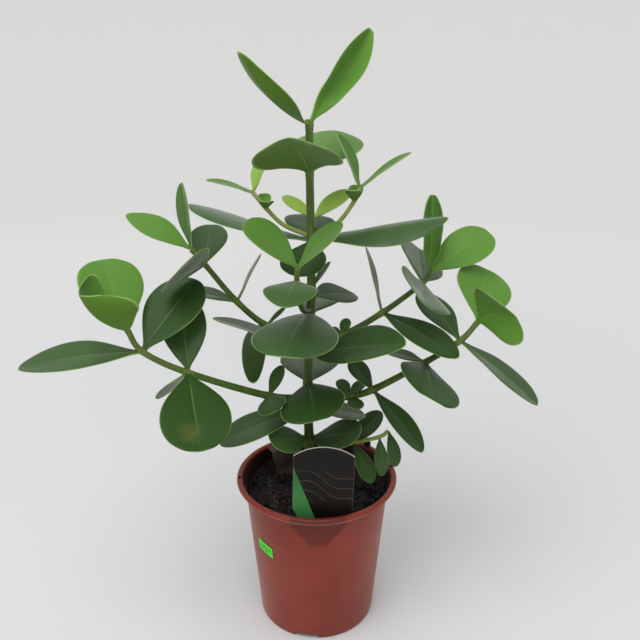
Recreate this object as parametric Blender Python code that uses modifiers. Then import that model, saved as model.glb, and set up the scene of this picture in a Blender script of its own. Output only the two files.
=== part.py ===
"""Potted clusia: an upright houseplant with thick paddle leaves, in a nursery pot of soil with a plant tag.

Metres, +Z up. The origin is the centre of the pot's underside, and the plant's front faces -Y.
"""

import math
from typing import NamedTuple

import bmesh
import bpy
from mathutils import Matrix, Vector

MM = 0.001
GAP = 0.3 * MM  # clearance between touching pieces
MERGE = 0.01 * MM
FUSE_MERGE = 0.0001 * MM  # finer, so that no thin face of a fused shape closes up

# Pot
POT_HEIGHT = 165 * MM
RIM_RADIUS = 85 * MM
RIM_WIDTH = 6 * MM
RIM_DEPTH = 13 * MM  # the lip and the collar that flares out to it
FOOT_RADIUS = 62.5 * MM
SHOULDER_RADIUS = 75.7 * MM  # outside of the wall just under the collar
WALL = 1.5 * MM
HEEL = 2.5 * MM
PAD_RADIUS = 42 * MM  # the middle of the base, which stands on the ground with the foot
BASE_RISE = 7 * MM  # the ring of the base between the pad and the foot
TURN_STEPS = 48
NOTCHES = 4
FIRST_NOTCH = -100  # degrees about +Z from +X
NOTCH_WIDTH = 26 * MM
NOTCH_HEIGHT = 5.5 * MM
NOTCH_DEPTH = 14 * MM
LIP_RADIUS = 2.5 * MM
LIP_END = -45  # degrees, where the lip's outer round runs into the collar
INNER_LIP_STEPS = 2
OUTER_LIP_STEPS = 4
SMOOTH_ANGLE = 35  # degrees; sharper edges stay sharp
FOOT_EASE = 0.6 * MM  # the slight bevel of the foot's outer edge

# Soil
SOIL_TOP = 150 * MM
SOIL_SWELL = 1.5 * MM
SOIL_WAVES = (61, 53)  # radians a metre along X and Y
SOIL_WAVE_START = 0.8  # radians
SOIL_RIPPLES = (182, 90)  # radians a metre along X and Y
RIPPLE_SHARE = 0.5
SOIL_RINGS = 4
STEM_HOLE_RADIUS = 5.9 * MM
STEM_HOLE_SIDES = 16
HOLE_OVERRUN = 20 * MM  # how far the hole's cutter stands out of the soil
SLIT_DEPTH = 40 * MM  # the slit for the tag, which is cut out to the wall

# Plant tag
TAG_WIDTH = 59 * MM
TAG_THICKNESS = 0.8 * MM
TAG_PLACE = Vector((6 * MM, -66 * MM, 0))
TAG_LEAN = 1.5  # degrees, its top towards +X
TAG_CORNER_Z = 225 * MM
TAG_ARCH = 10 * MM
TAG_ARCH_STEPS = 10
TAG_SHOULDER_Z = 166 * MM
TAG_NECK_Z = 127 * MM
TAG_NECK_WIDTH = 22 * MM
TAG_TIP_Z = 76 * MM
TAG_TIP_WIDTH = 5 * MM

# Price label
LABEL_WIDTH = 21 * MM
LABEL_HEIGHT = 12 * MM
LABEL_THICKNESS = 0.3 * MM
LABEL_HEADING = -137  # degrees about +Z from +X
LABEL_Z = 106 * MM
LABEL_TILT = 9  # degrees, clockwise as seen from outside
LABEL_COLUMNS = 6

# Leaves
BLADE = 1.0 * MM
STALK_THICKNESS = 2.4 * MM
STALK_SHARE = 0.06  # of the leaf's length
NECK_SHARE = 0.08  # the stalk's width, of the leaf's width
TIP_SHARE = 0.4  # how much of the width the last row of faces spans
FOLD_START = 0.35  # share of the length over which the edges lift to their full angle
SMALL_LEAF = 35  # millimetres; leaves up to this long have fewer faces
SMALL_GRID = (2, 4)  # faces across and along
LARGE_GRID = (4, 5)
STALK_END = 1 / 3  # share of the length where the stalk has thinned into the blade
POINTED_TIP = (0.56, 1.8, 1.3)  # where a pointed leaf is widest, and its tip curve's two powers
ROUND_TIP = (0.62, 2.4, 2.2)  # the same of a round leaf

# Stems
RING_SPACING = 11  # millimetres between the rings of a stem
THICK_STEM = 3  # millimetres; stems of a larger foot radius have eight sides and the others six
NODE_SWELL = 1.15
COLLAR_REACH = 9 * MM  # from the main stem's middle to the face where a side shoot starts
COLLAR_STRAIGHT = 5 * MM
COLLAR_SPACING = 4 * MM


class Leaf(NamedTuple):
    """A leaf: the stem point it grows from by number, its angles in degrees and its size in millimetres."""

    at: int
    heading: float  # about +Z from +X
    rise: float  # above the horizontal at its base
    length: float
    width: float
    roll: float = 0  # lifts its right-hand edge
    fold: float = 5  # lifts both edges
    bend: float = 12  # droop from base to tip
    twist: float = 0  # roll added towards the tip
    blunt: float = 0.8  # 0 is a pointed tip and 1 a round one


class Shoot(NamedTuple):
    """A leafy stem: its radius at foot and tip and its route in millimetres, with its leaves by name."""

    foot_radius: float
    tip_radius: float
    points: list
    leaves: dict


SHOOTS = {
    "main_stem": Shoot(
        5.2,
        3.4,
        [
            (-8, 0, 130),
            (-8, 0, 205),
            (-9, 0, 240),
            (-9, 0, 270),
            (-8, 0, 301),
            (-6, 0, 345),
            (-5, 0, 364),
            (-5, 0, 372),
            (-5, 0, 419),
            (-6, 0, 483),
            (-6, 0, 526),
            (-6, 0, 530),
        ],
        {
            "top_near": Leaf(10, -128, 15, 108, 46, roll=15, fold=16, bend=-40, blunt=0.1),
            "top_far": Leaf(10, 45, 48, 114, 42, roll=-70, fold=50, bend=6, blunt=0),
            "cap_front": Leaf(9, -102, 36, 86, 82, roll=-6, fold=-17, bend=18, blunt=0.9),
            "cap_back": Leaf(9, 74, 26, 90, 76, fold=-5, bend=14, blunt=0.9),
            "wide_left": Leaf(8, 180, 15, 120, 54, fold=-5, bend=-4, blunt=0.5),
            "wide_right": Leaf(8, -5, 12, 130, 52, roll=-6, fold=-18, bend=2, twist=-8, blunt=0),
            "upper_front": Leaf(8, -104, -20, 50, 44, bend=14, blunt=0.9),
            "upper_back": Leaf(8, 93, 18, 62, 51, roll=-4, bend=14, blunt=0.9),
            "twig": Leaf(7, 25, 50, 32, 11, fold=10, bend=0, blunt=0.3),
            "small_right": Leaf(6, 34, -2, 56, 42, roll=-14, bend=16, blunt=0),
            "small_left": Leaf(6, -150, 10, 34, 20, bend=20, blunt=0.5),
            "middle_front": Leaf(5, -103, 18, 98, 82, fold=-8, bend=44),
            "middle_back": Leaf(5, 85, 6, 88, 66, bend=18),
            "middle_right": Leaf(4, -37, 26, 118, 60, roll=-22, fold=8, bend=14, blunt=0.1),
            "middle_left": Leaf(4, -170, 31, 104, 52, roll=-8, fold=8, bend=10, blunt=0.4),
            "lower_back": Leaf(3, 88, 8, 82, 66, bend=16, blunt=0.9),
            "lower_front": Leaf(3, -83, 13, 66, 66, roll=-12, fold=-5, bend=44, blunt=0.9),
            "low_left": Leaf(2, -164, -5, 97, 44, roll=10, bend=20, blunt=0.6),
            "low_right": Leaf(2, 8, -2, 62, 38, bend=16, blunt=0.6),
            "foot_left": Leaf(1, -143, 24, 52, 37, roll=28, fold=0, bend=10, blunt=0.9),
            "foot_right": Leaf(1, -23, 26, 62, 44, roll=-20, fold=0, bend=10, blunt=0.9),
        },
    ),
    "upper_left": Shoot(
        3.4,
        2.4,
        [(-8, 0, 312), (-50, 6, 331), (-79, 12, 354), (-110, 20, 390), (-123, 22, 405)],
        {
            "sliver": Leaf(1, 25, 38, 28, 9, roll=60, fold=10, bend=0, blunt=0.3),
            "hanging": Leaf(1, 105, -14, 150, 29, fold=8, bend=70, blunt=0.9),
            "upright": Leaf(2, 40, 55, 54, 28, roll=32, bend=0, blunt=0.3),
            "outward": Leaf(2, 160, 8, 70, 34, fold=10, bend=8, blunt=0.6),
            "back": Leaf(3, 90, 34, 60, 40, blunt=0.7),
            "front": Leaf(3, -108, 8, 64, 62, roll=-46, fold=4, bend=6),
            "tip_left": Leaf(4, 166, 30, 74, 34, roll=20, fold=8, bend=10, blunt=0.1),
            "tip_up": Leaf(4, 108, 60, 72, 22, roll=60, fold=25, bend=10, blunt=0.4),
        },
    ),
    "upper_right": Shoot(
        3.6,
        2.4,
        [(-8, 0, 316), (26, 8, 320), (66, 18, 340), (107, 29, 368), (115, 31, 379)],
        {
            "bud_a": Leaf(1, 60, 60, 18, 13, bend=10),
            "bud_b": Leaf(1, 150, 35, 13, 8, bend=10),
            "upright": Leaf(2, 120, 62, 70, 32, roll=-50, fold=10, bend=0, blunt=0.1),
            "outward": Leaf(2, -45, -6, 96, 48, bend=14, blunt=0.3),
            "back": Leaf(3, 88, 26, 62, 64, roll=-40, fold=8, blunt=0.7),
            "front": Leaf(3, -98, 6, 70, 66, roll=42, fold=10, bend=8, blunt=0.7),
            "tip_up": Leaf(4, 85, 68, 80, 40, fold=60, bend=8, blunt=0.1),
            "tip_right": Leaf(4, 18, 33, 74, 46, roll=-35, fold=8, bend=10, blunt=0.9),
        },
    ),
    "lower_left": Shoot(
        3.9,
        2.6,
        [(-9, 0, 254), (-48, -10, 261), (-123, -35, 298), (-162, -45, 324), (-174, -48, 348)],
        {
            "small_up": Leaf(1, 50, 52, 34, 18, fold=8, bend=0, blunt=0.5),
            "small_round": Leaf(1, -80, 12, 38, 30, roll=-20, fold=0, bend=24, blunt=0.9),
            "front": Leaf(2, -74, -22, 88, 66, bend=16, blunt=0.9),
            "upright": Leaf(2, 104, 54, 80, 46, fold=8, bend=10, blunt=0.7),
            "under": Leaf(2, 147, -38, 52, 36),
            "outward": Leaf(3, -175, 0, 116, 46, roll=14, fold=8, blunt=0.2),
            "inward": Leaf(3, 52, 42, 90, 56, roll=-20, fold=8, blunt=0.5),
            "tip_back": Leaf(4, 124, 50, 77, 62, blunt=0.9),
            "tip_front": Leaf(4, -124, 17, 68, 86, roll=14, fold=46, bend=-55, blunt=0.9),
        },
    ),
    "lower_right": Shoot(
        3.9,
        2.6,
        [(-9, 0, 250), (33, 0, 256), (57, -2, 264), (108, -8, 297), (141, -10, 321), (157, -10, 341)],
        {
            "bud_a": Leaf(1, 120, 36, 22, 16, bend=10),
            "bud_b": Leaf(1, -60, -10, 22, 18, bend=10),
            "bud_c": Leaf(1, 40, 30, 26, 16, bend=10),
            "small_up": Leaf(2, 140, 46, 38, 28, bend=10),
            "drooping": Leaf(2, -40, -32, 80, 32, fold=8, blunt=0.4),
            "front": Leaf(3, -92, 3, 78, 66, roll=30, fold=0, blunt=0.6),
            "back": Leaf(3, 155, 12, 42, 24, bend=10, blunt=0.7),
            "outward": Leaf(4, -32, -26, 95, 36, fold=10, bend=10, blunt=0.5),
            "inward": Leaf(4, 125, 34, 70, 38, bend=10, blunt=0.6),
            "tip_back": Leaf(5, 73, 38, 70, 62, roll=-30, blunt=0.9),
            "tip_front": Leaf(5, -60, 45, 55, 66, roll=-88, fold=14, bend=46, twist=-16),
        },
    ),
    "front": Shoot(
        2.8,
        2.2,
        [(-6, 0, 350), (-13, -38, 364), (-17, -51, 394), (-16, -55, 408)],
        {
            "lower": Leaf(2, -99, 16, 56, 48, fold=0, bend=44, blunt=0.1),
            "tip_left": Leaf(3, 165, 44, 62, 36, roll=25, fold=12, bend=10, blunt=0.9),
            "tip_right": Leaf(3, 5, 50, 56, 30, roll=-20, fold=12, bend=10, blunt=0.7),
        },
    ),
    "back": Shoot(
        2.2,
        1.8,
        [(-5, 0, 426), (-3, 18, 429), (-3, 32, 433)],
        {
            "tip_left": Leaf(2, 150, 34, 40, 18, roll=15, bend=10, blunt=0.7),
            "tip_right": Leaf(2, 30, 36, 48, 24, roll=-15, bend=10, blunt=0.7),
        },
    ),
    "top_left": Shoot(
        2.2,
        1.8,
        [(-5, 0, 423), (-31, 6, 433), (-48, 12, 448), (-60, 15, 462)],
        {
            "pair_front": Leaf(2, -80, 30, 18, 16, fold=20, bend=5, blunt=0.7),
            "pair_back": Leaf(2, 100, 40, 18, 14, fold=20, bend=5, blunt=0.7),
            "tip_left": Leaf(3, 172, 16, 47, 19, fold=15, bend=6, blunt=0.3),
            "tip_up": Leaf(3, 60, 54, 42, 22, roll=20, fold=20, bend=6, blunt=0.6),
        },
    ),
    "top_right": Shoot(
        2.2,
        1.8,
        [(-5, 0, 424), (18, 4, 433), (36, 10, 455), (41, 12, 467)],
        {
            "pair_front": Leaf(2, -100, 40, 20, 18, fold=20, bend=5, blunt=0.7),
            "pair_back": Leaf(2, 80, 40, 20, 16, fold=20, bend=5, blunt=0.7),
            "tip_up": Leaf(3, 150, 65, 54, 22, fold=25, bend=6, blunt=0.6),
            "tip_right": Leaf(3, 8, 36, 58, 20, fold=15, bend=6, blunt=0.6),
        },
    ),
    "foot_right": Shoot(
        2.4,
        1.8,
        [(-8, 0, 192), (38, -6, 205), (65, -8, 213), (74, -8, 220)],
        {
            "upright": Leaf(1, 25, 46, 44, 34, bend=10, blunt=0.3),
            "hanging_a": Leaf(1, -60, -28, 46, 21, bend=24, blunt=0.9),
            "hanging_b": Leaf(2, -86, -42, 40, 15, bend=24, blunt=0.7),
            "hanging_c": Leaf(3, -60, -56, 38, 17, bend=20, blunt=0.7),
        },
    ),
}
MAIN = "main_stem"


def clear_scene():
    """Remove every object of the open scene."""
    for obj in list(bpy.data.objects):
        bpy.data.objects.remove(obj, do_unlink=True)


def make_collection(name):
    """A new collection linked to the scene."""
    collection = bpy.data.collections.new(name)
    bpy.context.scene.collection.children.link(collection)
    return collection


def make_material(name, colour, roughness):
    """A Principled material of one colour."""
    material = bpy.data.materials.new(name)
    material.use_nodes = True
    shader = material.node_tree.nodes["Principled BSDF"]
    shader.inputs["Base Color"].default_value = (*colour, 1)
    shader.inputs["Roughness"].default_value = roughness
    return material


def link_mesh(name, mesh, collection, material=None):
    """A new object of the mesh."""
    obj = bpy.data.objects.new(name, mesh)
    collection.objects.link(obj)
    if material:
        mesh.materials.clear()
        mesh.materials.append(material)
    return obj


def solid_from(obj, collection, merge=MERGE):
    """A plain mesh object of what the object's curve or modifiers make, in place of the object."""
    bpy.context.view_layer.update()
    evaluated = obj.evaluated_get(bpy.context.evaluated_depsgraph_get())
    mesh = bpy.data.meshes.new_from_object(evaluated)
    shaped = bmesh.new()
    shaped.from_mesh(mesh)
    bmesh.ops.remove_doubles(shaped, verts=shaped.verts, dist=merge)
    bmesh.ops.recalc_face_normals(shaped, faces=shaped.faces)
    shaped.to_mesh(mesh)
    shaped.free()
    name = obj.name
    place = obj.matrix_world.copy()
    bpy.data.objects.remove(obj, do_unlink=True)
    solid = link_mesh(name, mesh, collection)
    solid.matrix_world = place
    return solid


def make_cutter(name, mesh, cutters):
    """A hidden object that only cuts."""
    cutter = link_mesh(name, mesh, cutters)
    cutter.display_type = "WIRE"
    cutter.hide_render = True
    return cutter


def cut(obj, cutter):
    """Take the cutter's shape out of the object."""
    modifier = obj.modifiers.new(cutter.name, "BOOLEAN")
    modifier.operation = "DIFFERENCE"
    modifier.object = cutter


def arc(centre, radius, start, end, steps):
    """Points (r, z) on an arc, angles in degrees."""
    angles = (math.radians(start + (end - start) * k / steps) for k in range(steps + 1))
    return [(centre[0] + radius * math.cos(a), centre[1] + radius * math.sin(a)) for a in angles]


def turn(name, profile, collection, material):
    """A solid turned about Z from its profile of (r, z), which runs down its outer side."""
    mesh = bpy.data.meshes.new(name)
    mesh.from_pydata([(r, 0, z) for r, z in profile], [(k, k + 1) for k in range(len(profile) - 1)], [])
    obj = link_mesh(name, mesh, collection, material)
    screw = obj.modifiers.new("turn", "SCREW")
    screw.steps = TURN_STEPS
    screw.render_steps = TURN_STEPS
    screw.use_merge_vertices = True
    screw.merge_threshold = MERGE
    weld = obj.modifiers.new("close the middle", "WELD")
    weld.merge_threshold = MERGE
    return obj


def wall_radius(z):
    """Outer radius of the pot's sloping wall at a height."""
    top = POT_HEIGHT - RIM_DEPTH
    return FOOT_RADIUS + (SHOULDER_RADIUS - FOOT_RADIUS) * z / top


def smooth_rounds(obj):
    """Shade the object's round faces smooth and keep its edges sharp."""
    obj.data.shade_smooth()
    obj.data.set_sharp_from_angle(angle=math.radians(SMOOTH_ANGLE))


def make_pot(collection, cutters):
    """The thin pot with its flared rim, raised base ring and notched foot."""
    under_rim = POT_HEIGHT - RIM_DEPTH
    lip_middle = POT_HEIGHT - LIP_RADIUS
    inner_lip = RIM_RADIUS - RIM_WIDTH + LIP_RADIUS
    profile = [
        (0, WALL),
        (PAD_RADIUS - WALL, WALL),
        (PAD_RADIUS, BASE_RISE + WALL),
        (wall_radius(BASE_RISE) - WALL - HEEL, BASE_RISE + WALL),
        (wall_radius(BASE_RISE) - WALL, BASE_RISE + WALL + HEEL),
        (SHOULDER_RADIUS - WALL, under_rim),
        *arc((inner_lip, lip_middle), LIP_RADIUS, 180, 90, INNER_LIP_STEPS),
        *arc((RIM_RADIUS - LIP_RADIUS, lip_middle), LIP_RADIUS, 90, LIP_END, OUTER_LIP_STEPS),
        (SHOULDER_RADIUS, under_rim),
        (wall_radius(HEEL), HEEL),
        (FOOT_RADIUS - FOOT_EASE, 0),
        (FOOT_RADIUS - 2 * WALL, 0),
        (FOOT_RADIUS - 2 * WALL, BASE_RISE),
        (PAD_RADIUS + WALL, BASE_RISE),
        (PAD_RADIUS, 0),
        (0, 0),
    ]
    plastic = make_material("terracotta_plastic", (0.36, 0.09, 0.055), 0.5)
    pot = turn("pot", profile, collection, plastic)
    for k in range(NOTCHES):
        heading = math.radians(FIRST_NOTCH + 360 / NOTCHES * k)
        block = bmesh.new()
        size = Matrix.Diagonal((NOTCH_DEPTH, NOTCH_WIDTH, 2 * NOTCH_HEIGHT, 1))
        place = Matrix.Rotation(heading, 4, "Z") @ Matrix.Translation((FOOT_RADIUS, 0, 0))
        bmesh.ops.create_cube(block, size=1, matrix=place @ size)
        mesh = bpy.data.meshes.new(f"notch_{k}")
        block.to_mesh(mesh)
        block.free()
        cut(pot, make_cutter(f"notch_{k}", mesh, cutters))
    smooth_rounds(pot)
    return pot


def soil_height(x, y):
    """Height of the loose soil's uneven top at a place."""
    broad = math.sin(SOIL_WAVES[0] * x + SOIL_WAVE_START) * math.cos(SOIL_WAVES[1] * y)
    fine = math.sin(SOIL_RIPPLES[0] * x + SOIL_RIPPLES[1] * y)
    return SOIL_TOP + SOIL_SWELL * (broad + RIPPLE_SHARE * fine)


def make_soil(collection, cutters):
    """The soil, which fills the pot, with a hole for the stem and a slit for the tag."""
    edge = wall_radius(SOIL_TOP) - WALL - 2 * GAP
    foot = wall_radius(BASE_RISE) - WALL - HEEL - 2 * GAP
    floor = BASE_RISE + WALL + GAP
    profile = [(edge * k / SOIL_RINGS, SOIL_TOP) for k in range(SOIL_RINGS + 1)]
    profile += [
        (foot + HEEL, floor + HEEL),
        (foot, floor),
        (PAD_RADIUS - WALL, floor),
        (PAD_RADIUS - 2 * WALL, WALL + GAP),
        (0, WALL + GAP),
    ]
    soil = turn("soil", profile, collection, make_material("soil", (0.012, 0.009, 0.007), 0.95))
    soil = solid_from(soil, collection)
    shaped = bmesh.new()
    shaped.from_mesh(soil.data)
    for vert in shaped.verts:
        if vert.co.z > SOIL_TOP - GAP:
            vert.co.z = soil_height(vert.co.x, vert.co.y)
    bmesh.ops.triangulate(shaped, faces=shaped.faces)
    shaped.to_mesh(soil.data)
    shaped.free()
    foot_point = Vector(SHOOTS[MAIN].points[0]) * MM
    hole = bmesh.new()
    depth = SOIL_TOP - foot_point.z + HOLE_OVERRUN
    place = Matrix.Translation(foot_point + Vector((0, 0, 0.5 * depth - GAP)))
    bmesh.ops.create_cone(
        hole,
        cap_ends=True,
        segments=STEM_HOLE_SIDES,
        radius1=STEM_HOLE_RADIUS,
        radius2=STEM_HOLE_RADIUS,
        depth=depth,
        matrix=place,
    )
    mesh = bpy.data.meshes.new("stem_hole")
    hole.to_mesh(mesh)
    hole.free()
    cut(soil, make_cutter("stem_hole", mesh, cutters))
    slit = flat_outline("tag_slit", tag_outline(GAP), SLIT_DEPTH, cutters)
    slit = solid_from(slit, cutters)
    slit.location += Vector((0, 0.5 * TAG_THICKNESS + GAP - 0.5 * SLIT_DEPTH, 0))
    slit.display_type = "WIRE"
    slit.hide_render = True
    cut(soil, slit)
    return soil


def tag_outline(grow=0.0):
    """The tag's outline (x, z) about its own middle: an arched head, shoulders and a tapered stake."""
    half = 0.5 * TAG_WIDTH
    radius = (half * half + TAG_ARCH * TAG_ARCH) / (2 * TAG_ARCH)
    reach = math.degrees(math.asin(half / radius))
    centre = (0, TAG_CORNER_Z + TAG_ARCH - radius)
    arch = arc(centre, radius, 90 - reach, 90 + reach, TAG_ARCH_STEPS)
    right = [
        (0.5 * TAG_TIP_WIDTH + grow, TAG_TIP_Z - grow),
        (0.5 * TAG_NECK_WIDTH + grow, TAG_NECK_Z - grow),
        (half + grow, TAG_SHOULDER_Z - grow),
    ]
    left = [(-x, z) for x, z in reversed(right)]
    return right + arch + left


def flat_outline(name, outline, thickness, collection):
    """A flat plate in the XZ plane, from its outline as a filled curve, at the tag's place and lean."""
    curve = bpy.data.curves.new(name, "CURVE")
    curve.dimensions = "2D"
    curve.fill_mode = "BOTH"
    curve.extrude = 0.5 * thickness
    spline = curve.splines.new("POLY")
    spline.points.add(len(outline) - 1)
    for point, (x, z) in zip(spline.points, outline):
        point.co = (x, z, 0, 1)
    spline.use_cyclic_u = True
    obj = bpy.data.objects.new(name, curve)
    collection.objects.link(obj)
    pivot = Matrix.Translation((0, 0, TAG_SHOULDER_Z))
    lean = pivot @ Matrix.Rotation(math.radians(TAG_LEAN), 4, "Y") @ pivot.inverted()
    obj.matrix_world = Matrix.Translation(TAG_PLACE) @ lean @ Matrix.Rotation(math.radians(90), 4, "X")
    return obj


def make_tag(collection):
    """The plastic plant tag, pushed into the soil against the front wall."""
    tag = flat_outline("tag", tag_outline(), TAG_THICKNESS, collection)
    tag = solid_from(tag, collection)
    tag.data.materials.clear()
    tag.data.materials.append(make_material("tag_plastic", (0.022, 0.018, 0.016), 0.45))
    return tag


def make_label(collection):
    """The small price label, curved round the pot's wall."""
    sheet = bmesh.new()
    bmesh.ops.create_grid(sheet, x_segments=LABEL_COLUMNS, y_segments=1, size=0.5)
    spread = LABEL_WIDTH / wall_radius(LABEL_Z)
    slope = (SHOULDER_RADIUS - FOOT_RADIUS) / (POT_HEIGHT - RIM_DEPTH)
    faceted = 1 / math.cos(math.pi / TURN_STEPS)
    skew = math.tan(math.radians(LABEL_TILT))
    for vert in sheet.verts:
        angle = math.radians(LABEL_HEADING) + vert.co.x * spread
        z = LABEL_Z + vert.co.y * LABEL_HEIGHT - vert.co.x * LABEL_WIDTH * skew
        radius = wall_radius(LABEL_Z) + slope * (z - LABEL_Z) + GAP + 0.5 * LABEL_THICKNESS
        vert.co = (radius * faceted * math.cos(angle), radius * faceted * math.sin(angle), z)
    mesh = bpy.data.meshes.new("label")
    sheet.to_mesh(mesh)
    sheet.free()
    label = link_mesh("label", mesh, collection, make_material("label_paper", (0.08, 0.75, 0.06), 0.6))
    solidify = label.modifiers.new("thickness", "SOLIDIFY")
    solidify.thickness = LABEL_THICKNESS
    solidify.offset = 0
    return label


def route(points, spacing):
    """A smooth route through the points: each place on it, with the number of the point it is at, if any."""
    ends = [2 * points[0] - points[1], *points, 2 * points[-1] - points[-2]]
    places = []
    for k in range(1, len(ends) - 2):
        a, b, c, d = ends[k - 1 : k + 3]
        steps = max(1, round((c - b).length / spacing))
        for step in range(steps):
            t = step / steps
            curve = 2 * b + (c - a) * t + (2 * a - 5 * b + 4 * c - d) * t**2 + (3 * b - a - 3 * c + d) * t**3
            places.append((0.5 * curve, k - 1 if step == 0 else None))
    places.append((points[-1], len(points) - 1))
    return places


def make_stem(name, places, sides, collection):
    """A round stem along places of (point, radius)."""
    curve = bpy.data.curves.new(name, "CURVE")
    curve.dimensions = "3D"
    curve.bevel_depth = MM
    curve.bevel_resolution = (sides - 4) // 2
    curve.use_fill_caps = True
    spline = curve.splines.new("POLY")
    spline.points.add(len(places) - 1)
    for point, (co, radius) in zip(spline.points, places):
        point.co = (*co, 1)
        point.radius = radius
    stem = bpy.data.objects.new(name, curve)
    collection.objects.link(stem)
    return solid_from(stem, collection)


def collar_start(shoot):
    """Where a side shoot leaves the main stem: its first point and its direction there."""
    places = [co for co, _ in route([Vector(p) * MM for p in shoot.points], COLLAR_SPACING)]
    foot = places[0]
    ahead = next(co for co in places if (co - foot).length > COLLAR_REACH + COLLAR_STRAIGHT)
    return foot, (ahead - foot).normalized()


def shoot_places(name):
    """The points and radii of a shoot's stem. A side shoot starts at its collar's face."""
    shoot = SHOOTS[name]
    leafy = {leaf.at for leaf in shoot.leaves.values()}
    way = route([Vector(p) * MM for p in shoot.points], RING_SPACING * MM)
    places = []
    for k, (co, number) in enumerate(way):
        share = k / (len(way) - 1)
        radius = shoot.foot_radius + (shoot.tip_radius - shoot.foot_radius) * share
        places.append((co, radius * (NODE_SWELL if number in leafy else 1)))
    if name == MAIN:
        return places
    foot, direction = collar_start(shoot)
    start = COLLAR_REACH + GAP
    straight = [
        (foot + direction * reach, shoot.foot_radius * NODE_SWELL) for reach in (start, start + COLLAR_STRAIGHT)
    ]
    return straight + [place for place in places if (place[0] - foot).length > start + 2 * COLLAR_STRAIGHT]


def tip_shape(blunt):
    """Where a leaf is widest, as a share of its length, and the powers of its tip's curve."""
    return tuple(pointed + (rounded - pointed) * blunt for pointed, rounded in zip(POINTED_TIP, ROUND_TIP))


def half_width(along, blunt):
    """Half a leaf's width, as a share of the half at its widest, at a share of its length."""
    widest, inner, outer = tip_shape(blunt)
    if along <= STALK_SHARE:
        return NECK_SHARE
    if along <= widest:
        opening = (along - STALK_SHARE) / (widest - STALK_SHARE)
        return NECK_SHARE + (1 - NECK_SHARE) * math.sin(0.5 * math.pi * opening)
    closing = (along - widest) / (1 - widest)
    return max(1 - closing**inner, 0) ** (1 / outer)


def edge_end(blunt):
    """The share of a leaf's length where its edges meet the last row, which spans TIP_SHARE of the width."""
    widest, inner, outer = tip_shape(blunt)
    return widest + (1 - widest) * (1 - TIP_SHARE**outer) ** (1 / inner)


def leaf_point(leaf, foot, along, across):
    """A point of the leaf's middle surface, along from 0 to 1 and across from -1 to 1."""
    edge_along = along * edge_end(leaf.blunt)
    place = along + (edge_along - along) * across**2
    half = 0.5 * leaf.width * MM * half_width(edge_along, leaf.blunt)
    heading, rise = math.radians(leaf.heading), math.radians(leaf.rise)
    roll = math.radians(leaf.roll + leaf.twist * place)
    start = Vector((math.cos(heading) * math.cos(rise), math.sin(heading) * math.cos(rise), math.sin(rise)))
    level = Vector((math.sin(heading), -math.cos(heading), 0))
    up = level.cross(start)
    turned = math.radians(leaf.bend) * place
    reach = leaf.length * MM * place
    chord = reach if abs(turned) < 1e-6 else 2 * reach / turned * math.sin(0.5 * turned)
    middle = foot + chord * (math.cos(0.5 * turned) * start - math.sin(0.5 * turned) * up)
    onward = math.cos(turned) * start - math.sin(turned) * up
    side = math.cos(roll) * level + math.sin(roll) * up
    face = side.cross(onward).normalized()
    lift = math.radians(leaf.fold) * (0.5 + 0.5 * abs(across)) * min(place / FOLD_START, 1)
    return middle + half * across * math.cos(lift) * side + half * abs(across) * math.sin(lift) * face


def make_leaf(name, leaf, foot, collection):
    """A closed leaf: a thin blade that thickens into its stalk, with its root inside the stem."""
    across_steps, along_steps = SMALL_GRID if leaf.length <= SMALL_LEAF else LARGE_GRID
    sheet = bmesh.new()
    bmesh.ops.create_grid(sheet, x_segments=across_steps, y_segments=along_steps, size=0.5)
    bmesh.ops.triangulate(sheet, faces=sheet.faces)
    stalk_weights = {}
    for vert in sheet.verts:
        along, across = vert.co.y + 0.5, 2 * vert.co.x
        stalk_weights[vert.index] = max(1 - along / STALK_END, 0)
        vert.co = leaf_point(leaf, foot, along, across)
    mesh = bpy.data.meshes.new(name)
    sheet.to_mesh(mesh)
    sheet.free()
    blade = link_mesh(name, mesh, collection)
    stalk = blade.vertex_groups.new(name="stalk")
    for index, weight in stalk_weights.items():
        stalk.add([index], weight, "REPLACE")
    solidify = blade.modifiers.new("thickness", "SOLIDIFY")
    solidify.thickness = STALK_THICKNESS
    solidify.offset = 0
    solidify.vertex_group = stalk.name
    solidify.thickness_vertex_group = BLADE / STALK_THICKNESS
    return solid_from(blade, collection)


def keep_body(mesh):
    """Keep the mesh's largest body and drop what fusing left loose or sealed in."""
    shaped = bmesh.new()
    shaped.from_mesh(mesh)
    bodies = []
    left = set(shaped.faces)
    while left:
        body = {left.pop()}
        newest = set(body)
        while newest:
            near = {other for face in newest for edge in face.edges for other in edge.link_faces}
            newest = near - body
            body |= near
        left -= body
        bodies.append(body)
    largest = max(bodies, key=len)
    bmesh.ops.delete(shaped, geom=[face for face in shaped.faces if face not in largest], context="FACES")
    shaped.to_mesh(mesh)
    shaped.free()


def fuse(stem, grown, collection, material):
    """One solid of the stem and all that grows from it."""
    union = stem.modifiers.new("grow together", "BOOLEAN")
    union.operation = "UNION"
    union.operand_type = "COLLECTION"
    union.collection = grown
    fused = solid_from(stem, collection, FUSE_MERGE)
    keep_body(fused.data)
    for obj in list(grown.objects):
        bpy.data.objects.remove(obj, do_unlink=True)
    bpy.data.collections.remove(grown)
    fused.data.materials.clear()
    fused.data.materials.append(material)
    return fused


def sides_of(shoot):
    """The number of sides of a shoot's stem."""
    return 8 if shoot.foot_radius > THICK_STEM else 6


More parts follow.
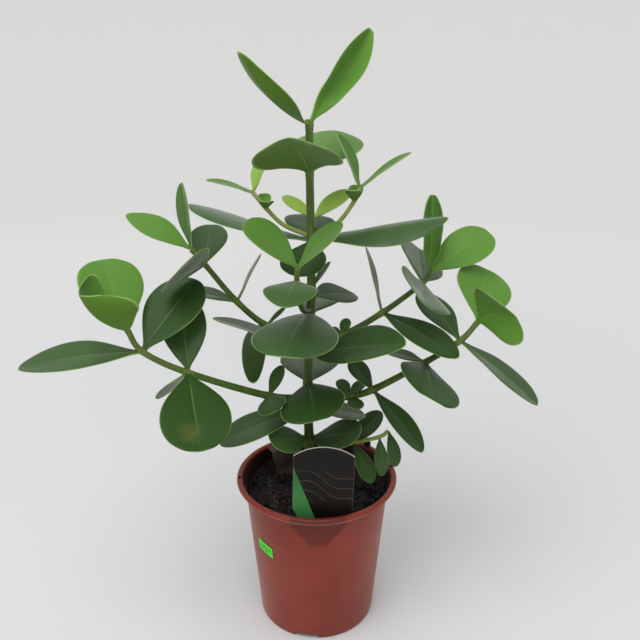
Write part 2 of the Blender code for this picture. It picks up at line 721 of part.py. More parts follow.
def make_shoot(name, collection, material):
    """A shoot of the plant: its stem, leaves and, on the main stem, the collars of its side shoots."""
    shoot = SHOOTS[name]
    grown = make_collection(f"{name}_leaves")
    stem = make_stem(name, shoot_places(name), sides_of(shoot), collection)
    for title, leaf in shoot.leaves.items():
        make_leaf(f"{name}_{title}", leaf, Vector(shoot.points[leaf.at]) * MM, grown)
    if name == MAIN:
        for other in SHOOTS:
            if other != MAIN:
                side = SHOOTS[other]
                foot, direction = collar_start(side)
                radius = side.foot_radius * NODE_SWELL
                ends = [(foot, radius), (foot + direction * COLLAR_REACH, radius)]
                make_stem(f"{other}_collar", ends, sides_of(side), grown)
    return fuse(stem, grown, collection, material)


def main():
    clear_scene()
    collection = make_collection("potted_clusia")
    cutters = make_collection("cutters")
    make_pot(collection, cutters)
    make_soil(collection, cutters)
    make_tag(collection)
    make_label(collection)
    green = make_material("leaf", (0.045, 0.11, 0.03), 0.4)
    for name in SHOOTS:
        make_shoot(name, collection, green)


if __name__ == "__main__":
    main()
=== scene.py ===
"""Looks of the potted clusia: fine leaves and stems, a moulded pot, loose soil, the plant tag and the studio.

Laid out as a Blender add-on and run as a script. Metres, +Z up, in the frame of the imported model.
"""

import random
from math import asin, copysign, cos, degrees, exp, hypot, pi, radians, sin, sqrt
from typing import NamedTuple

import bpy
from bpy.props import FloatProperty, FloatVectorProperty, IntProperty, PointerProperty
from mathutils import Matrix, Vector


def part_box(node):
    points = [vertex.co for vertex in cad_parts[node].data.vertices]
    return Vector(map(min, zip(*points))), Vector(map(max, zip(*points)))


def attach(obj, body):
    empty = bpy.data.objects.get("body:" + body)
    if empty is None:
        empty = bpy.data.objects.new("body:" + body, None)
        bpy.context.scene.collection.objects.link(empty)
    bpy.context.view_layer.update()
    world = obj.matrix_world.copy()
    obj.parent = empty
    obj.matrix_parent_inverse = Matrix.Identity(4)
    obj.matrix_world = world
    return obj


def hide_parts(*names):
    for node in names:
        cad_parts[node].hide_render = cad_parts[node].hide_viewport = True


bl_info = {
    "name": "Potted clusia",
    "version": (1, 0, 0),
    "blender": (4, 5, 0),
    "location": "View3D > Sidebar > Clusia",
    "description": "Builds the looks of a potted clusia around its packed model",
    "category": "Object",
}

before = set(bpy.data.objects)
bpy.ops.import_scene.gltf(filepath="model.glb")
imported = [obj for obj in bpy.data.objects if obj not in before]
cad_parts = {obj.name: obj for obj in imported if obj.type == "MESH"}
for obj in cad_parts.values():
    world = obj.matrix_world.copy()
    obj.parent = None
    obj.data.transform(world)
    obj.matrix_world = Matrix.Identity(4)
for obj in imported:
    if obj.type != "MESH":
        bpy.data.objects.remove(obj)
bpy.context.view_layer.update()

MM = 0.001
_, POT_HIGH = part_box("pot")
TAG_LOW, TAG_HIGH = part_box("tag")

# Pot
POT_HEIGHT = POT_HIGH.z
RIM_RADIUS = POT_HIGH.x
RIM_WIDTH = 6 * MM
UNDER_RIM = POT_HEIGHT - 13 * MM  # where the sloping wall meets the collar, which flares out to the lip
FOOT_RADIUS = 62.5 * MM
SHOULDER_RADIUS = 75.7 * MM  # outside of the wall just under the collar
WALL = 1.5 * MM
HEEL = 2.5 * MM
LIP_RADIUS = 2.5 * MM
LIP_END = -45  # degrees, where the lip's outer round runs into the collar
PAD_RADIUS = 42 * MM
BASE_RISE = 7 * MM
NOTCHES = 4
FIRST_NOTCH = -100  # degrees about +Z from +X
NOTCH_WIDTH = 26 * MM
NOTCH_HEIGHT = 5.5 * MM
NOTCH_DEPTH = 14 * MM
POT_STEPS = 96
HUB = 1 * MM  # radius of the small disc in the middle of its floor

# Soil
SOIL_TOP = 150 * MM
SOIL_CLEARANCE = 0.4 * MM
SOIL_STEPS = 96
SOIL_RING = 2.4 * MM
CRUMB_BELT = (12 * MM, 69 * MM)  # distances from the pot's axis
CRUMB_SIZES = (1.6, 4.2)  # millimetres
LUMP_SIZES = (6, 10)
LUMP_EVERY = 12  # one lump among so many crumbs
FIBRE_BELT = (24 * MM, 58 * MM)
FIBRE_NESTS = ((-50 * MM, 2 * MM), (-40 * MM, -28 * MM))
FIBRE_SPREAD = 5 * MM
FIBRE_STEP = 3 * MM
FIBRE_RADIUS = 0.27  # millimetres
RIM_CRUMBS = {9: 3.5 * MM, 46: 12 * MM, 187: 3.5 * MM}  # sizes by where they lie, in degrees about +Z from +X
SCRAP_THICKNESS = 0.5 * MM
SCRAPS = (  # place, turn in degrees and size of the dry scraps
    ((-37 * MM, 26 * MM), (58, -12, 35), (34 * MM, 21 * MM)),
    ((-44 * MM, 45 * MM), (48, 10, 70), (30 * MM, 20 * MM)),
)

# Plant tag
TAG_WIDTH = 59 * MM
TAG_THICKNESS = TAG_HIGH.y - TAG_LOW.y
TAG_PLACE = Vector((6 * MM, 0.5 * (TAG_LOW.y + TAG_HIGH.y), 0))
TAG_LEAN = 1.5  # degrees, its top towards +X
TAG_CORNER_Z = 225 * MM
TAG_ARCH = 10 * MM  # rise of its arched top over its corners
TAG_ARCH_RADIUS = (0.25 * TAG_WIDTH**2 + TAG_ARCH**2) / (2 * TAG_ARCH)
TAG_ARCH_MIDDLE = TAG_CORNER_Z + TAG_ARCH - TAG_ARCH_RADIUS
TAG_SHOULDER_Z = 166 * MM
TAG_NECK_Z = 127 * MM
TAG_NECK_WIDTH = 22 * MM
TAG_TIP_Z = 76 * MM
TAG_TIP_WIDTH = 5 * MM

# Painted shade on the wall in front of the tag's shoulders, which stand behind it
SHADE_X = 2 * MM
SHADE_INSET = 3 * MM

# Label
LABEL_Z = 106 * MM
LABEL_HEADING = -137  # degrees about +Z from +X
LABEL_TILT = 9  # degrees, clockwise as seen from outside

# Leaves
STALK_SHARE = 0.06  # of the leaf's length
NECK_SHARE = 0.08  # the stalk's width, of the leaf's width
TIP_SHARE = 0.4  # how much of the width the last row of faces spans
FOLD_START = 0.35  # share of the length over which the edges lift to their full angle
POINTED_TIP = (0.56, 1.8, 1.3)  # where a pointed leaf is widest, and its tip curve's two powers
ROUND_TIP = (0.62, 2.4, 2.2)  # the same of a round leaf
SMALL_LEAF = 35  # millimetres; leaves up to this long have the small grid
SMALL_GRID = (6, 9)  # faces across and along
LARGE_GRID = (10, 14)
MIDRIB_POWER = 1.35  # draws the columns of faces towards the midrib
GROOVE_WIDTH = 0.12  # the midrib's groove, of half the leaf's width
FULL_WAVES = 60  # millimetres; narrower leaves have lower waves
LEAST_TURN = 1e-6  # radians; a leaf that bends less is straight
DEEP_SHARES = (0.5, 0.62, 0.36)  # red, green and blue of the darkest tone, of the mature colour: random dark patches, and painted shade on leaves below 0
TINT = 0.25  # how much leaves differ in darkness, either way
STAIN = Vector((-112 * MM, -94 * MM, 266 * MM))  # a dry patch on one low leaf
STAIN_RADIUS = 13 * MM
AGES_AND_PAINTED_LIGHT = {  # leaves whose names start so: 1 is young, 0 mature and -1 old; above 1 adds painted light shining through, up to 2 for the newest, and below 0 also paints shade on leaves that sit in shade
    "back_tip": 1.8,
    "top_left_tip_up": 1.5,
    "top_left_tip": 0.6,
    "top_right_tip": 0.5,
    "top": 0.9,
    "foot_right": -0.4,
    "foot": 0.2,
    "front_lower": 0.1,
    "front_tip": 0.65,
    "upper_left_tip_up": 0.2,
    "upper_right_tip_up": 0.6,
    "lower_left_outward": 0.1,
    "lower_left_front": -1,
    "lower_left_inward": -0.6,
    "lower_left_upright": -0.5,
    "lower_right_front": -0.9,
    "upper_right_outward": -1,
    "tip": 0.85,
    "cap": 0.65,
    "bud": 0.15,
    "pair": 0.6,
    "upper_back": -0.35,
    "upper_front": -0.4,
    "lower_front": -0.8,
    "middle_right": -1,
    "drooping": -0.8,
    "hanging": -0.6,
    "small": -0.6,
}

# Stems
RING_SPACING = 3  # millimetres between the rings of a stem
STEM_SIDES = 16
STEM_DOME = 0.45  # rounding of its end, of the radius there
NODE_REACH = 5 * MM  # how far a node's swelling fades along the stem
STEM_FULLNESS = 1.02  # between the nodes, of the radius by the table
NODE_SWELL = 0.15  # added to that at a node
SLIM_STEM = 2  # millimetres; stems whose tips are slimmer are young
TIP_YOUTH = 0.28  # how young the tips of the other stems are
MERGE = 0.01 * MM  # points of a swept shape that lie closer become one

# Studio
FLOOR_STEPS = 128
LIT_PLACE = (0, 0, 0.3)  # where the lights are aimed


class Leaf(NamedTuple):
    """A leaf: the stem point it grows from by number, its angles in degrees and its size in millimetres."""

    at: int
    heading: float  # about +Z from +X
    rise: float  # above the horizontal at its base
    length: float
    width: float
    roll: float = 0  # lifts its right-hand edge
    fold: float = 5  # lifts both edges
    bend: float = 10  # droop from base to tip
    twist: float = 0  # roll added towards the tip
    blunt: float = 0.9  # 0 is a pointed tip and 1 a round one


class Shoot:
    """A leafy stem: its radius at foot and tip and its route in millimetres, with its leaves by name."""

    def __init__(self, foot_radius, tip_radius, points, **leaves):
        self.foot_radius = foot_radius
        self.tip_radius = tip_radius
        self.points = points
        self.leaves = leaves


SHOOTS = {
    "main_stem": Shoot(
        5.2,
        3.4,
        [
            (-8, 0, 130), (-8, 0, 205), (-9, 0, 240), (-9, 0, 270), (-8, 0, 301), (-6, 0, 345),
            (-5, 0, 364), (-5, 0, 372), (-5, 0, 419), (-6, 0, 483), (-6, 0, 526), (-6, 0, 530),
        ],
        top_near=Leaf(10, -128, 15, 108, 46, roll=15, fold=16, bend=-40, blunt=0.1),
        top_far=Leaf(10, 45, 48, 114, 42, roll=-70, fold=50, bend=6, blunt=0),
        cap_front=Leaf(9, -102, 36, 86, 82, roll=-6, fold=-17, bend=18),
        cap_back=Leaf(9, 74, 26, 90, 76, fold=-5, bend=14),
        wide_left=Leaf(8, 180, 15, 120, 54, fold=-5, bend=-4, blunt=0.5),
        wide_right=Leaf(8, -5, 12, 130, 52, roll=-6, fold=-18, bend=2, twist=-8, blunt=0),
        upper_front=Leaf(8, -104, -20, 50, 44, bend=14),
        upper_back=Leaf(8, 93, 18, 62, 51, roll=-4, bend=14),
        twig=Leaf(7, 25, 50, 32, 11, fold=10, bend=0, blunt=0.3),
        small_right=Leaf(6, 34, -2, 56, 42, roll=-14, bend=16, blunt=0),
        small_left=Leaf(6, -150, 10, 34, 20, bend=20, blunt=0.5),
        middle_front=Leaf(5, -103, 18, 98, 82, fold=-8, bend=44, blunt=0.8),
        middle_back=Leaf(5, 85, 6, 88, 66, bend=18, blunt=0.8),
        middle_right=Leaf(4, -37, 26, 118, 60, roll=-22, fold=8, bend=14, blunt=0.1),
        middle_left=Leaf(4, -170, 31, 104, 52, roll=-8, fold=8, blunt=0.4),
        lower_back=Leaf(3, 88, 8, 82, 66, bend=16),
        lower_front=Leaf(3, -83, 13, 66, 66, roll=-12, fold=-5, bend=44),
        low_left=Leaf(2, -164, -5, 97, 44, roll=10, bend=20, blunt=0.6),
        low_right=Leaf(2, 8, -2, 62, 38, bend=16, blunt=0.6),
        foot_left=Leaf(1, -143, 24, 52, 37, roll=28, fold=0),
        foot_right=Leaf(1, -23, 26, 62, 44, roll=-20, fold=0),
    ),
    "upper_left": Shoot(
        3.4,
        2.4,
        [(-8, 0, 312), (-50, 6, 331), (-79, 12, 354), (-110, 20, 390), (-123, 22, 405)],
        sliver=Leaf(1, 25, 38, 28, 9, roll=60, fold=10, bend=0, blunt=0.3),
        hanging=Leaf(1, 105, -14, 150, 29, fold=8, bend=70),
        upright=Leaf(2, 40, 55, 54, 28, roll=32, bend=0, blunt=0.3),
        outward=Leaf(2, 160, 8, 70, 34, fold=10, bend=8, blunt=0.6),
        back=Leaf(3, 90, 34, 60, 40, bend=12, blunt=0.7),
        front=Leaf(3, -108, 8, 64, 62, roll=-46, fold=4, bend=6, blunt=0.8),
        tip_left=Leaf(4, 166, 30, 74, 34, roll=20, fold=8, blunt=0.1),
        tip_up=Leaf(4, 108, 60, 72, 22, roll=60, fold=25, blunt=0.4),
    ),
    "upper_right": Shoot(
        3.6,
        2.4,
        [(-8, 0, 316), (26, 8, 320), (66, 18, 340), (107, 29, 368), (115, 31, 379)],
        bud_a=Leaf(1, 60, 60, 18, 13, blunt=0.8),
        bud_b=Leaf(1, 150, 35, 13, 8, blunt=0.8),
        upright=Leaf(2, 120, 62, 70, 32, roll=-50, fold=10, bend=0, blunt=0.1),
        outward=Leaf(2, -45, -6, 96, 48, bend=14, blunt=0.3),
        back=Leaf(3, 88, 26, 62, 64, roll=-40, fold=8, bend=12, blunt=0.7),
        front=Leaf(3, -98, 6, 70, 66, roll=42, fold=10, bend=8, blunt=0.7),
        tip_up=Leaf(4, 85, 68, 80, 40, fold=60, bend=8, blunt=0.1),
        tip_right=Leaf(4, 18, 33, 74, 46, roll=-35, fold=8),
    ),
    "lower_left": Shoot(
        3.9,
        2.6,
        [(-9, 0, 254), (-48, -10, 261), (-123, -35, 298), (-162, -45, 324), (-174, -48, 348)],
        small_up=Leaf(1, 50, 52, 34, 18, fold=8, bend=0, blunt=0.5),
        small_round=Leaf(1, -80, 12, 38, 30, roll=-20, fold=0, bend=24),
        front=Leaf(2, -74, -22, 88, 66, bend=16),
        upright=Leaf(2, 104, 54, 80, 46, fold=8, blunt=0.7),
        under=Leaf(2, 147, -38, 52, 36, bend=12, blunt=0.8),
        outward=Leaf(3, -175, 0, 116, 46, roll=14, fold=8, bend=12, blunt=0.2),
        inward=Leaf(3, 52, 42, 90, 56, roll=-20, fold=8, bend=12, blunt=0.5),
        tip_back=Leaf(4, 124, 50, 77, 62, bend=12),
        tip_front=Leaf(4, -124, 17, 68, 86, roll=14, fold=46, bend=-55),
    ),
    "lower_right": Shoot(
        3.9,
        2.6,
        [(-9, 0, 250), (33, 0, 256), (57, -2, 264), (108, -8, 297), (141, -10, 321), (157, -10, 341)],
        bud_a=Leaf(1, 120, 36, 22, 16, blunt=0.8),
        bud_b=Leaf(1, -60, -10, 22, 18, blunt=0.8),
        bud_c=Leaf(1, 40, 30, 26, 16, blunt=0.8),
        small_up=Leaf(2, 140, 46, 38, 28, blunt=0.8),
        drooping=Leaf(2, -40, -32, 80, 32, fold=8, bend=12, blunt=0.4),
        front=Leaf(3, -92, 3, 78, 66, roll=30, fold=0, bend=12, blunt=0.6),
        back=Leaf(3, 155, 12, 42, 24, blunt=0.7),
        outward=Leaf(4, -32, -26, 95, 36, fold=10, blunt=0.5),
        inward=Leaf(4, 125, 34, 70, 38, blunt=0.6),
        tip_back=Leaf(5, 73, 38, 70, 62, roll=-30, bend=12),
        tip_front=Leaf(5, -60, 45, 55, 66, roll=-88, fold=14, bend=46, twist=-16, blunt=0.8),
    ),
    "front": Shoot(
        2.8,
        2.2,
        [(-6, 0, 350), (-13, -38, 364), (-17, -51, 394), (-16, -55, 408)],
        lower=Leaf(2, -99, 16, 56, 48, fold=0, bend=44, blunt=0.1),
        tip_left=Leaf(3, 165, 44, 62, 36, roll=25, fold=12),
        tip_right=Leaf(3, 5, 50, 56, 30, roll=-20, fold=12, blunt=0.7),
    ),
    "back": Shoot(
        2.2,
        1.8,
        [(-5, 0, 426), (-3, 18, 429), (-3, 32, 433)],
        tip_left=Leaf(2, 150, 34, 40, 18, roll=15, blunt=0.7),
        tip_right=Leaf(2, 30, 36, 48, 24, roll=-15, blunt=0.7),
    ),
    "top_left": Shoot(
        2.2,
        1.8,
        [(-5, 0, 423), (-31, 6, 433), (-48, 12, 448), (-60, 15, 462)],
        pair_front=Leaf(2, -80, 30, 18, 16, fold=20, bend=5, blunt=0.7),
        pair_back=Leaf(2, 100, 40, 18, 14, fold=20, bend=5, blunt=0.7),
        tip_left=Leaf(3, 172, 16, 47, 19, fold=15, bend=6, blunt=0.3),
        tip_up=Leaf(3, 60, 54, 42, 22, roll=20, fold=20, bend=6, blunt=0.6),
    ),
    "top_right": Shoot(
        2.2,
        1.8,
        [(-5, 0, 424), (18, 4, 433), (36, 10, 455), (41, 12, 467)],
        pair_front=Leaf(2, -100, 40, 20, 18, fold=20, bend=5, blunt=0.7),
        pair_back=Leaf(2, 80, 40, 20, 16, fold=20, bend=5, blunt=0.7),
        tip_up=Leaf(3, 150, 65, 54, 22, fold=25, bend=6, blunt=0.6),
        tip_right=Leaf(3, 8, 36, 58, 20, fold=15, bend=6, blunt=0.6),
    ),
    "foot_right": Shoot(
        2.4,
        1.8,
        [(-8, 0, 192), (38, -6, 205), (65, -8, 213), (74, -8, 220)],
        upright=Leaf(1, 25, 46, 44, 34, blunt=0.3),
        hanging_a=Leaf(1, -60, -28, 46, 21, bend=24),
        hanging_b=Leaf(2, -86, -42, 40, 15, bend=24, blunt=0.7),
        hanging_c=Leaf(3, -60, -56, 38, 17, bend=20, blunt=0.7),
    ),
}


def from_screen(red, green, blue):
    """A linear colour from its 0 to 255 screen values."""
    shares = (value / 255 for value in (red, green, blue))
    return tuple(v / 12.92 if v <= 0.04045 else ((v + 0.055) / 1.055) ** 2.4 for v in shares)


def darker(tone, share=0.4):
    """A colour at a share of its brightness."""
    return tuple(share * value for value in tone)


def colour(name, description, *screen):
    """A colour setting with its default in screen values."""
    return FloatVectorProperty(
        name=name, description=description, subtype="COLOR", min=0, max=1, default=from_screen(*screen)
    )


def length(name, description, default):
    """A setting of a length."""
    return FloatProperty(name=name, description=description, default=default, unit="LENGTH")


# Tones that no setting changes
BARK_STREAKS = from_screen(60, 72, 32)
BARK_RINGS = from_screen(128, 150, 62)
SCUFFS = from_screen(196, 130, 110)
DUST = from_screen(96, 62, 50)
SOIL_GRAINS = from_screen(96, 82, 66)


class ClusiaLeafSettings(bpy.types.PropertyGroup):
    """Leaves and stems."""

    blade: length("Blade", "Thickness of a leaf's blade", 1.1 * MM)
    stalk: length("Stalk", "Thickness of a leaf's stalk", 3 * MM)
    groove: length("Groove", "Depth of the midrib's groove", 0.7 * MM)
    ripple: length("Ripple", "Height of a blade's waves", 0.8 * MM)
    mature: colour("Mature", "Upper side of an old leaf", 54, 84, 38)
    young: colour("Young", "Upper side of a young leaf", 92, 138, 52)
    under: colour("Under", "Underside of an old leaf", 76, 102, 56)
    under_young: colour("Under, young", "Underside of a young leaf", 84, 122, 30)
    # painted light shining through the newest leaves
    fresh_backlit: colour("Fresh", "Newest leaves, which let light through", 158, 190, 84)
    pale: colour("Pale", "Midribs and margins", 138, 168, 94)
    stain: colour("Stain", "A dry patch on one leaf", 98, 100, 48)
    stem: colour("Stem", "Green stem", 52, 78, 17)
    stem_young: colour("Young stem", "Slim new stems", 138, 152, 78)
    stem_old: colour("Old stem", "Foot of the stem", 60, 78, 28)


class ClusiaPotSettings(bpy.types.PropertyGroup):
    """The pot."""

    plastic: colour("Plastic", "The pot's moulded plastic", 131, 47, 30)
    # painted shade on the wall in front of the tag's shoulders; the same colour also mottles the plastic at
    # random
    shade: colour("Shade", "The wall where the tag's shoulders lie behind it", 90, 21, 11)
    # soil stains with painted shade on the inner wall above the soil
    soiled_and_shaded: colour("Soiled", "The inner wall above the soil", 28, 18, 16)
    edge: length("Edge", "Rounding of the pot's edges", 0.4 * MM)


class ClusiaSoilSettings(bpy.types.PropertyGroup):
    """The soil and what lies on it."""

    earth: colour("Earth", "Moist soil", 30, 22, 20)
    straw: colour("Straw", "Pale root fibres", 92, 88, 80)
    flake: colour("Flake", "Dry brown leaf scraps", 62, 38, 28)
    relief: length("Relief", "Height of the soil's lumps", 6 * MM)
    crumbs: IntProperty(name="Crumbs", description="Number of loose crumbs", default=420, min=1)
    fibres: IntProperty(name="Fibres", description="Number of root fibres", default=40, min=1)
    seed: IntProperty(name="Seed", description="Changes where the crumbs and fibres lie", default=4)


class ClusiaTagSettings(bpy.types.PropertyGroup):
    """The plant tag and the label."""

    plastic: colour("Tag", "The tag's plastic", 19, 15, 11)
    edge: colour("Edge", "The tag's cut edge and border", 196, 194, 184)
    line: colour("Line", "The tag's thin lines", 112, 104, 86)
    patch: colour("Patch", "The tag's green corner", 62, 124, 66)
    label: colour("Label", "The label's paper", 72, 226, 50)
    ink: colour("Ink", "The plain line and strokes on the label", 12, 60, 14)


class ClusiaStageSettings(bpy.types.PropertyGroup):
    """Floor, lights and camera."""

    # painted shade: the floor is painted darker near the plant and paler far away, where it curves up
    floor: colour("Floor", "The studio floor", 210, 211, 212)
    backdrop: colour("Backdrop", "The floor far away, where it curves up", 231, 231, 230)
    floor_radius: length("Floor", "Radius of the level floor", 2.2)
    wall_height: length("Wall", "Height that the floor curves up to", 2.4)
    lens: FloatProperty(name="Lens", description="Focal length in millimetres", default=40.5)
    pitch: FloatProperty(
        name="Pitch", description="The camera looks down", default=radians(20.3), subtype="ANGLE"
    )
    eye: FloatVectorProperty(
        name="Eye",
        description="Where the camera stands",
        default=(3.5 * MM, -0.665, 0.585),
        subtype="TRANSLATION",
    )
    key: FloatProperty(name="Key", description="Power of the large light above", default=25, unit="POWER")
    fill: FloatProperty(name="Fill", description="Power of the light in front", default=2, unit="POWER")
    sky: FloatProperty(name="Sky", description="Strength of the even light", default=0.88)


def select_only(*objects):
    """Select these objects and nothing else, with the first one active."""
    bpy.ops.object.select_all(action="DESELECT")
    for obj in objects:
        obj.select_set(True)
    bpy.context.view_layer.objects.active = objects[0]


def added(operator, **values):
    """A new object by its add operator, alone selected."""
    bpy.ops.object.select_all(action="DESELECT")
    operator(**values)
    return bpy.context.object


def named(obj, name):
    """The object, with its name also on its data."""
    obj.name = name
    obj.data.name = name
    return obj


def apply_modifier(obj, kind, **values):
    """Add a modifier with these values and apply it."""
    select_only(obj)
    modifier = obj.modifiers.new(kind.title(), kind)
    for name, value in values.items():
        setattr(modifier, name, value)
    bpy.ops.object.modifier_apply(modifier=modifier.name)


def join(objects, name):
    """One object of several."""
    select_only(*objects)
    bpy.ops.object.join()
    return named(bpy.context.object, name)


def fix_place(obj):
    """Keep the object's place and turn in its mesh, with the object itself at the origin."""
    select_only(obj)
    bpy.ops.object.transform_apply(location=True, rotation=True, scale=True)


def settle(obj, slot, *nodes):
    """Let a finished piece ride on the plant's body, in place of the named nodes."""
    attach(obj, "root")
    if nodes:
        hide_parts(*nodes)


def new_curve(**values):
    """A curve with these values and no splines yet."""
    curve = added(bpy.ops.curve.primitive_nurbs_path_add)
    curve.data.splines.clear()
    for name, value in values.items():
        setattr(curve.data, name, value)
    return curve


def add_spline(curve, kind, places, radii):
    """A new spline of a curve by its places and its radii there."""
    spline = curve.data.splines.new(kind)
    spline.points.add(len(places) - 1)
    for point, place, radius in zip(spline.points, places, radii):
        point.co = (*place, 1)
        point.radius = radius
    return spline


def to_mesh(curve):
    """Turn a curve's object into a mesh."""
    select_only(curve)
    bpy.ops.object.convert(target="MESH")


def put(socket, value):
    """Set a shader node's socket, or link it to a reading."""
    if isinstance(value, Reading):
        socket.id_data.links.new(value.socket, socket)
    else:
        socket.default_value = value


def add_node(tree, kind, inputs=None, output=0, **values):
    """The reading of a new shader node's output, with the node's values and inputs set or linked."""
    node = tree.nodes.new(kind)
    for name, value in values.items():
        setattr(node, name, value)
    for name, value in (inputs or {}).items():
        put(node.inputs[name], value)
    return Reading(node.outputs[output])


class Reading:
    """What a shader node gives out. It can be reckoned with as a number can."""

    def __init__(self, socket):
        self.socket = socket
        self.tree = socket.id_data

    def maths(self, operation, second=0.0, clamp=False):
        inputs = {0: self, 1: second}
        return add_node(self.tree, "ShaderNodeMath", inputs, operation=operation, use_clamp=clamp)

    def __add__(self, other):
        return self.maths("ADD", other)

    def __sub__(self, other):
        return self.maths("SUBTRACT", other)

    def __mul__(self, other):
        return self.maths("MULTIPLY", other)

    def __abs__(self):
        return self.maths("ABSOLUTE")

    def ramp(self, low, high, start=0.0, end=1.0):
        """Goes smoothly from start to end while this goes from low to high."""
        inputs = {"Value": self, "From Min": low, "From Max": high, "To Min": start, "To Max": end}
        return add_node(self.tree, "ShaderNodeMapRange", inputs, interpolation_type="SMOOTHSTEP")

    def parts(self):
        """Its X, Y and Z."""
        first = add_node(self.tree, "ShaderNodeSeparateXYZ", {0: self})
        return [Reading(socket) for socket in first.socket.node.outputs]


class Skin:
    """A material in the making: coats of colour laid over each other, and its shader."""

    def __init__(self, name, base=None):
        self.material = bpy.data.materials.new(name)
        self.material.use_nodes = True
        self.tree = self.material.node_tree
        self.shader = self.tree.nodes["Principled BSDF"]
        self.place = self.read("ShaderNodeTexCoord", output="Object")
        self.coat = base

    def read(self, kind, inputs=None, output=0, **values):
        return add_node(self.tree, kind, inputs, output, **values)

    def attribute(self, name):
        return self.read("ShaderNodeAttribute", output="Fac", attribute_name=name)

    def noise(self, scale, detail=2.0, stretch=None):
        """Noise on the piece's own coordinates, about 0.5."""
        vector = self.place
        if stretch:
            vector = self.read("ShaderNodeMapping", {"Vector": vector, "Scale": stretch})
        return self.read("ShaderNodeTexNoise", {"Vector": vector, "Scale": scale, "Detail": detail}, "Fac")

    def framed(self, middle, turn):
        """The piece's coordinates as seen from a middle and turn of its own."""
        inputs = {"Vector": self.place, "Location": middle, "Rotation": turn}
        return self.read("ShaderNodeMapping", inputs, vector_type="TEXTURE")

    def blend(self, share, first, second):
        """A colour between two colours."""
        first, second = (tone if isinstance(tone, Reading) else (*tone, 1) for tone in (first, second))
        inputs = {0: share, 6: first, 7: second}
        return self.read("ShaderNodeMix", inputs, 2, data_type="RGBA", clamp_factor=True)

    def paint(self, share, tone):
        """Lay a colour over what is there."""
        self.coat = self.blend(share, self.coat, tone)

    def relief(self, height, depth, strength):
        """The surface that a height pattern gives."""
        return self.read("ShaderNodeBump", {"Height": height, "Distance": depth, "Strength": strength})

    def done(self, **values):
        """The material, with its coats and these values on the shader's sockets."""
        for name, value in {"Base_Color": self.coat, **values}.items():
            put(self.shader.inputs[name.replace("_", " ")], value)
        return self.material


def leaf_pattern(skin):
    """Patterns on a leaf's own map: how near its midrib, its side veins and its margin are."""
    side, along, _ = skin.read("ShaderNodeUVMap", uv_map="UVMap").parts()
    across = abs(side * 2.0 - 1.0)
    midrib = across.ramp(0.01, 0.045, 1, 0) * along.ramp(0.1, 0.9, 1, 0.15)
    wave = (along * 38.0 - across * 13.0).maths("PINGPONG", 0.5)
    veins = wave.ramp(0.0, 0.3, 1, 0) * across.ramp(0.03, 0.2)
    return midrib, veins, across.ramp(0.972, 0.992).maths("MAXIMUM", along.ramp(0.986, 0.996))


def leaf_material(name, mature, young, leaves, roughness, midrib_share, vein_share):
    """A leaf's skin: its colour goes by the leaf's age from old to new, with painted shade on leaves below 0,
    painted light shining through those above 1, and a pale midrib and margin.
    """
    skin = Skin(name)
    midrib, veins, margin = leaf_pattern(skin)
    age_and_light = skin.attribute("age_and_light")
    cloud = skin.noise(28.0, 3.0)
    skin.coat = skin.blend(age_and_light, mature, young)
    # painted light shining through the leaves above 1
    skin.paint(age_and_light - 1.0, leaves.fresh_backlit)
    deep = tuple(share * value for share, value in zip(DEEP_SHARES, mature))
    # random darker patches and tint, and painted shade on leaves below 0
    darkness = cloud + skin.attribute("tint") + age_and_light.maths("MINIMUM") * -0.5
    skin.paint(darkness.ramp(0.35, 0.95, 0, 0.8), skin.blend(age_and_light, deep, young))
    for pattern, share in ((veins, vein_share), (midrib, midrib_share), (margin, 0.75)):
        skin.paint(pattern * share, leaves.pale)
    away = skin.read("ShaderNodeVectorMath", {0: skin.place, 1: STAIN}, "Value", operation="DISTANCE")
    patchy = away + skin.noise(120.0, 3.0) * STAIN_RADIUS
    skin.paint(patchy.ramp(0.3 * STAIN_RADIUS, 1.7 * STAIN_RADIUS, 0.6, 0), leaves.stain)
    odd = age_and_light.maths("ABSOLUTE", clamp=True)
    return skin.done(
        Normal=skin.relief(veins * 0.3 + skin.noise(900.0, 1.0) * 0.35, 0.05 * MM, 0.5),
        Roughness=cloud.ramp(0.3, 0.7, roughness - 0.05, roughness + 0.07),
        Specular_IOR_Level=odd * -0.2 + 0.3,
        Sheen_Weight=odd * -0.35 + 0.45,
        Sheen_Roughness=0.35,
    )


def stem_material(leaves):
    """Smooth green bark with faint lengthwise streaks, paler at the nodes and darker near the soil."""
    skin = Skin("stem_bark")
    streaks = skin.noise(260.0, 3.0, stretch=(1, 1, 0.12))
    skin.coat = skin.blend(skin.place.parts()[2].ramp(0.14, 0.3), leaves.stem_old, leaves.stem)
    skin.paint(skin.attribute("age_and_light"), leaves.stem_young)
    skin.paint(streaks.ramp(0.45, 0.7, 0, 0.12), leaves.pale)
    skin.paint(streaks.ramp(0.3, 0.5, 0.25, 0), BARK_STREAKS)
    skin.paint(skin.attribute("ring") * 0.35, BARK_RINGS)
    bark = skin.relief(streaks, 0.08 * MM, 0.4)
    return skin.done(Normal=bark, Roughness=0.45, Specular_IOR_Level=0.25)


def route(points, spacing):
    """Places along a smooth route through the points."""
    ends = [2 * points[0] - points[1], *points, 2 * points[-1] - points[-2]]
    places = []
    for k in range(1, len(ends) - 2):
        a, b, c, d = ends[k - 1 : k + 3]
        steps = max(1, round((c - b).length / spacing))
        for step in range(steps):
            t = step / steps
            curve = 2 * b + (c - a) * t + (2 * a - 5 * b + 4 * c - d) * t**2 + (3 * b - a - 3 * c + d) * t**3
            places.append(0.5 * curve)
    return [*places, points[-1]]


def tip_shape(blunt):
    """Where a leaf is widest, as a share of its length, and the powers of its tip's curve."""
    return tuple(pointed + (rounded - pointed) * blunt for pointed, rounded in zip(POINTED_TIP, ROUND_TIP))


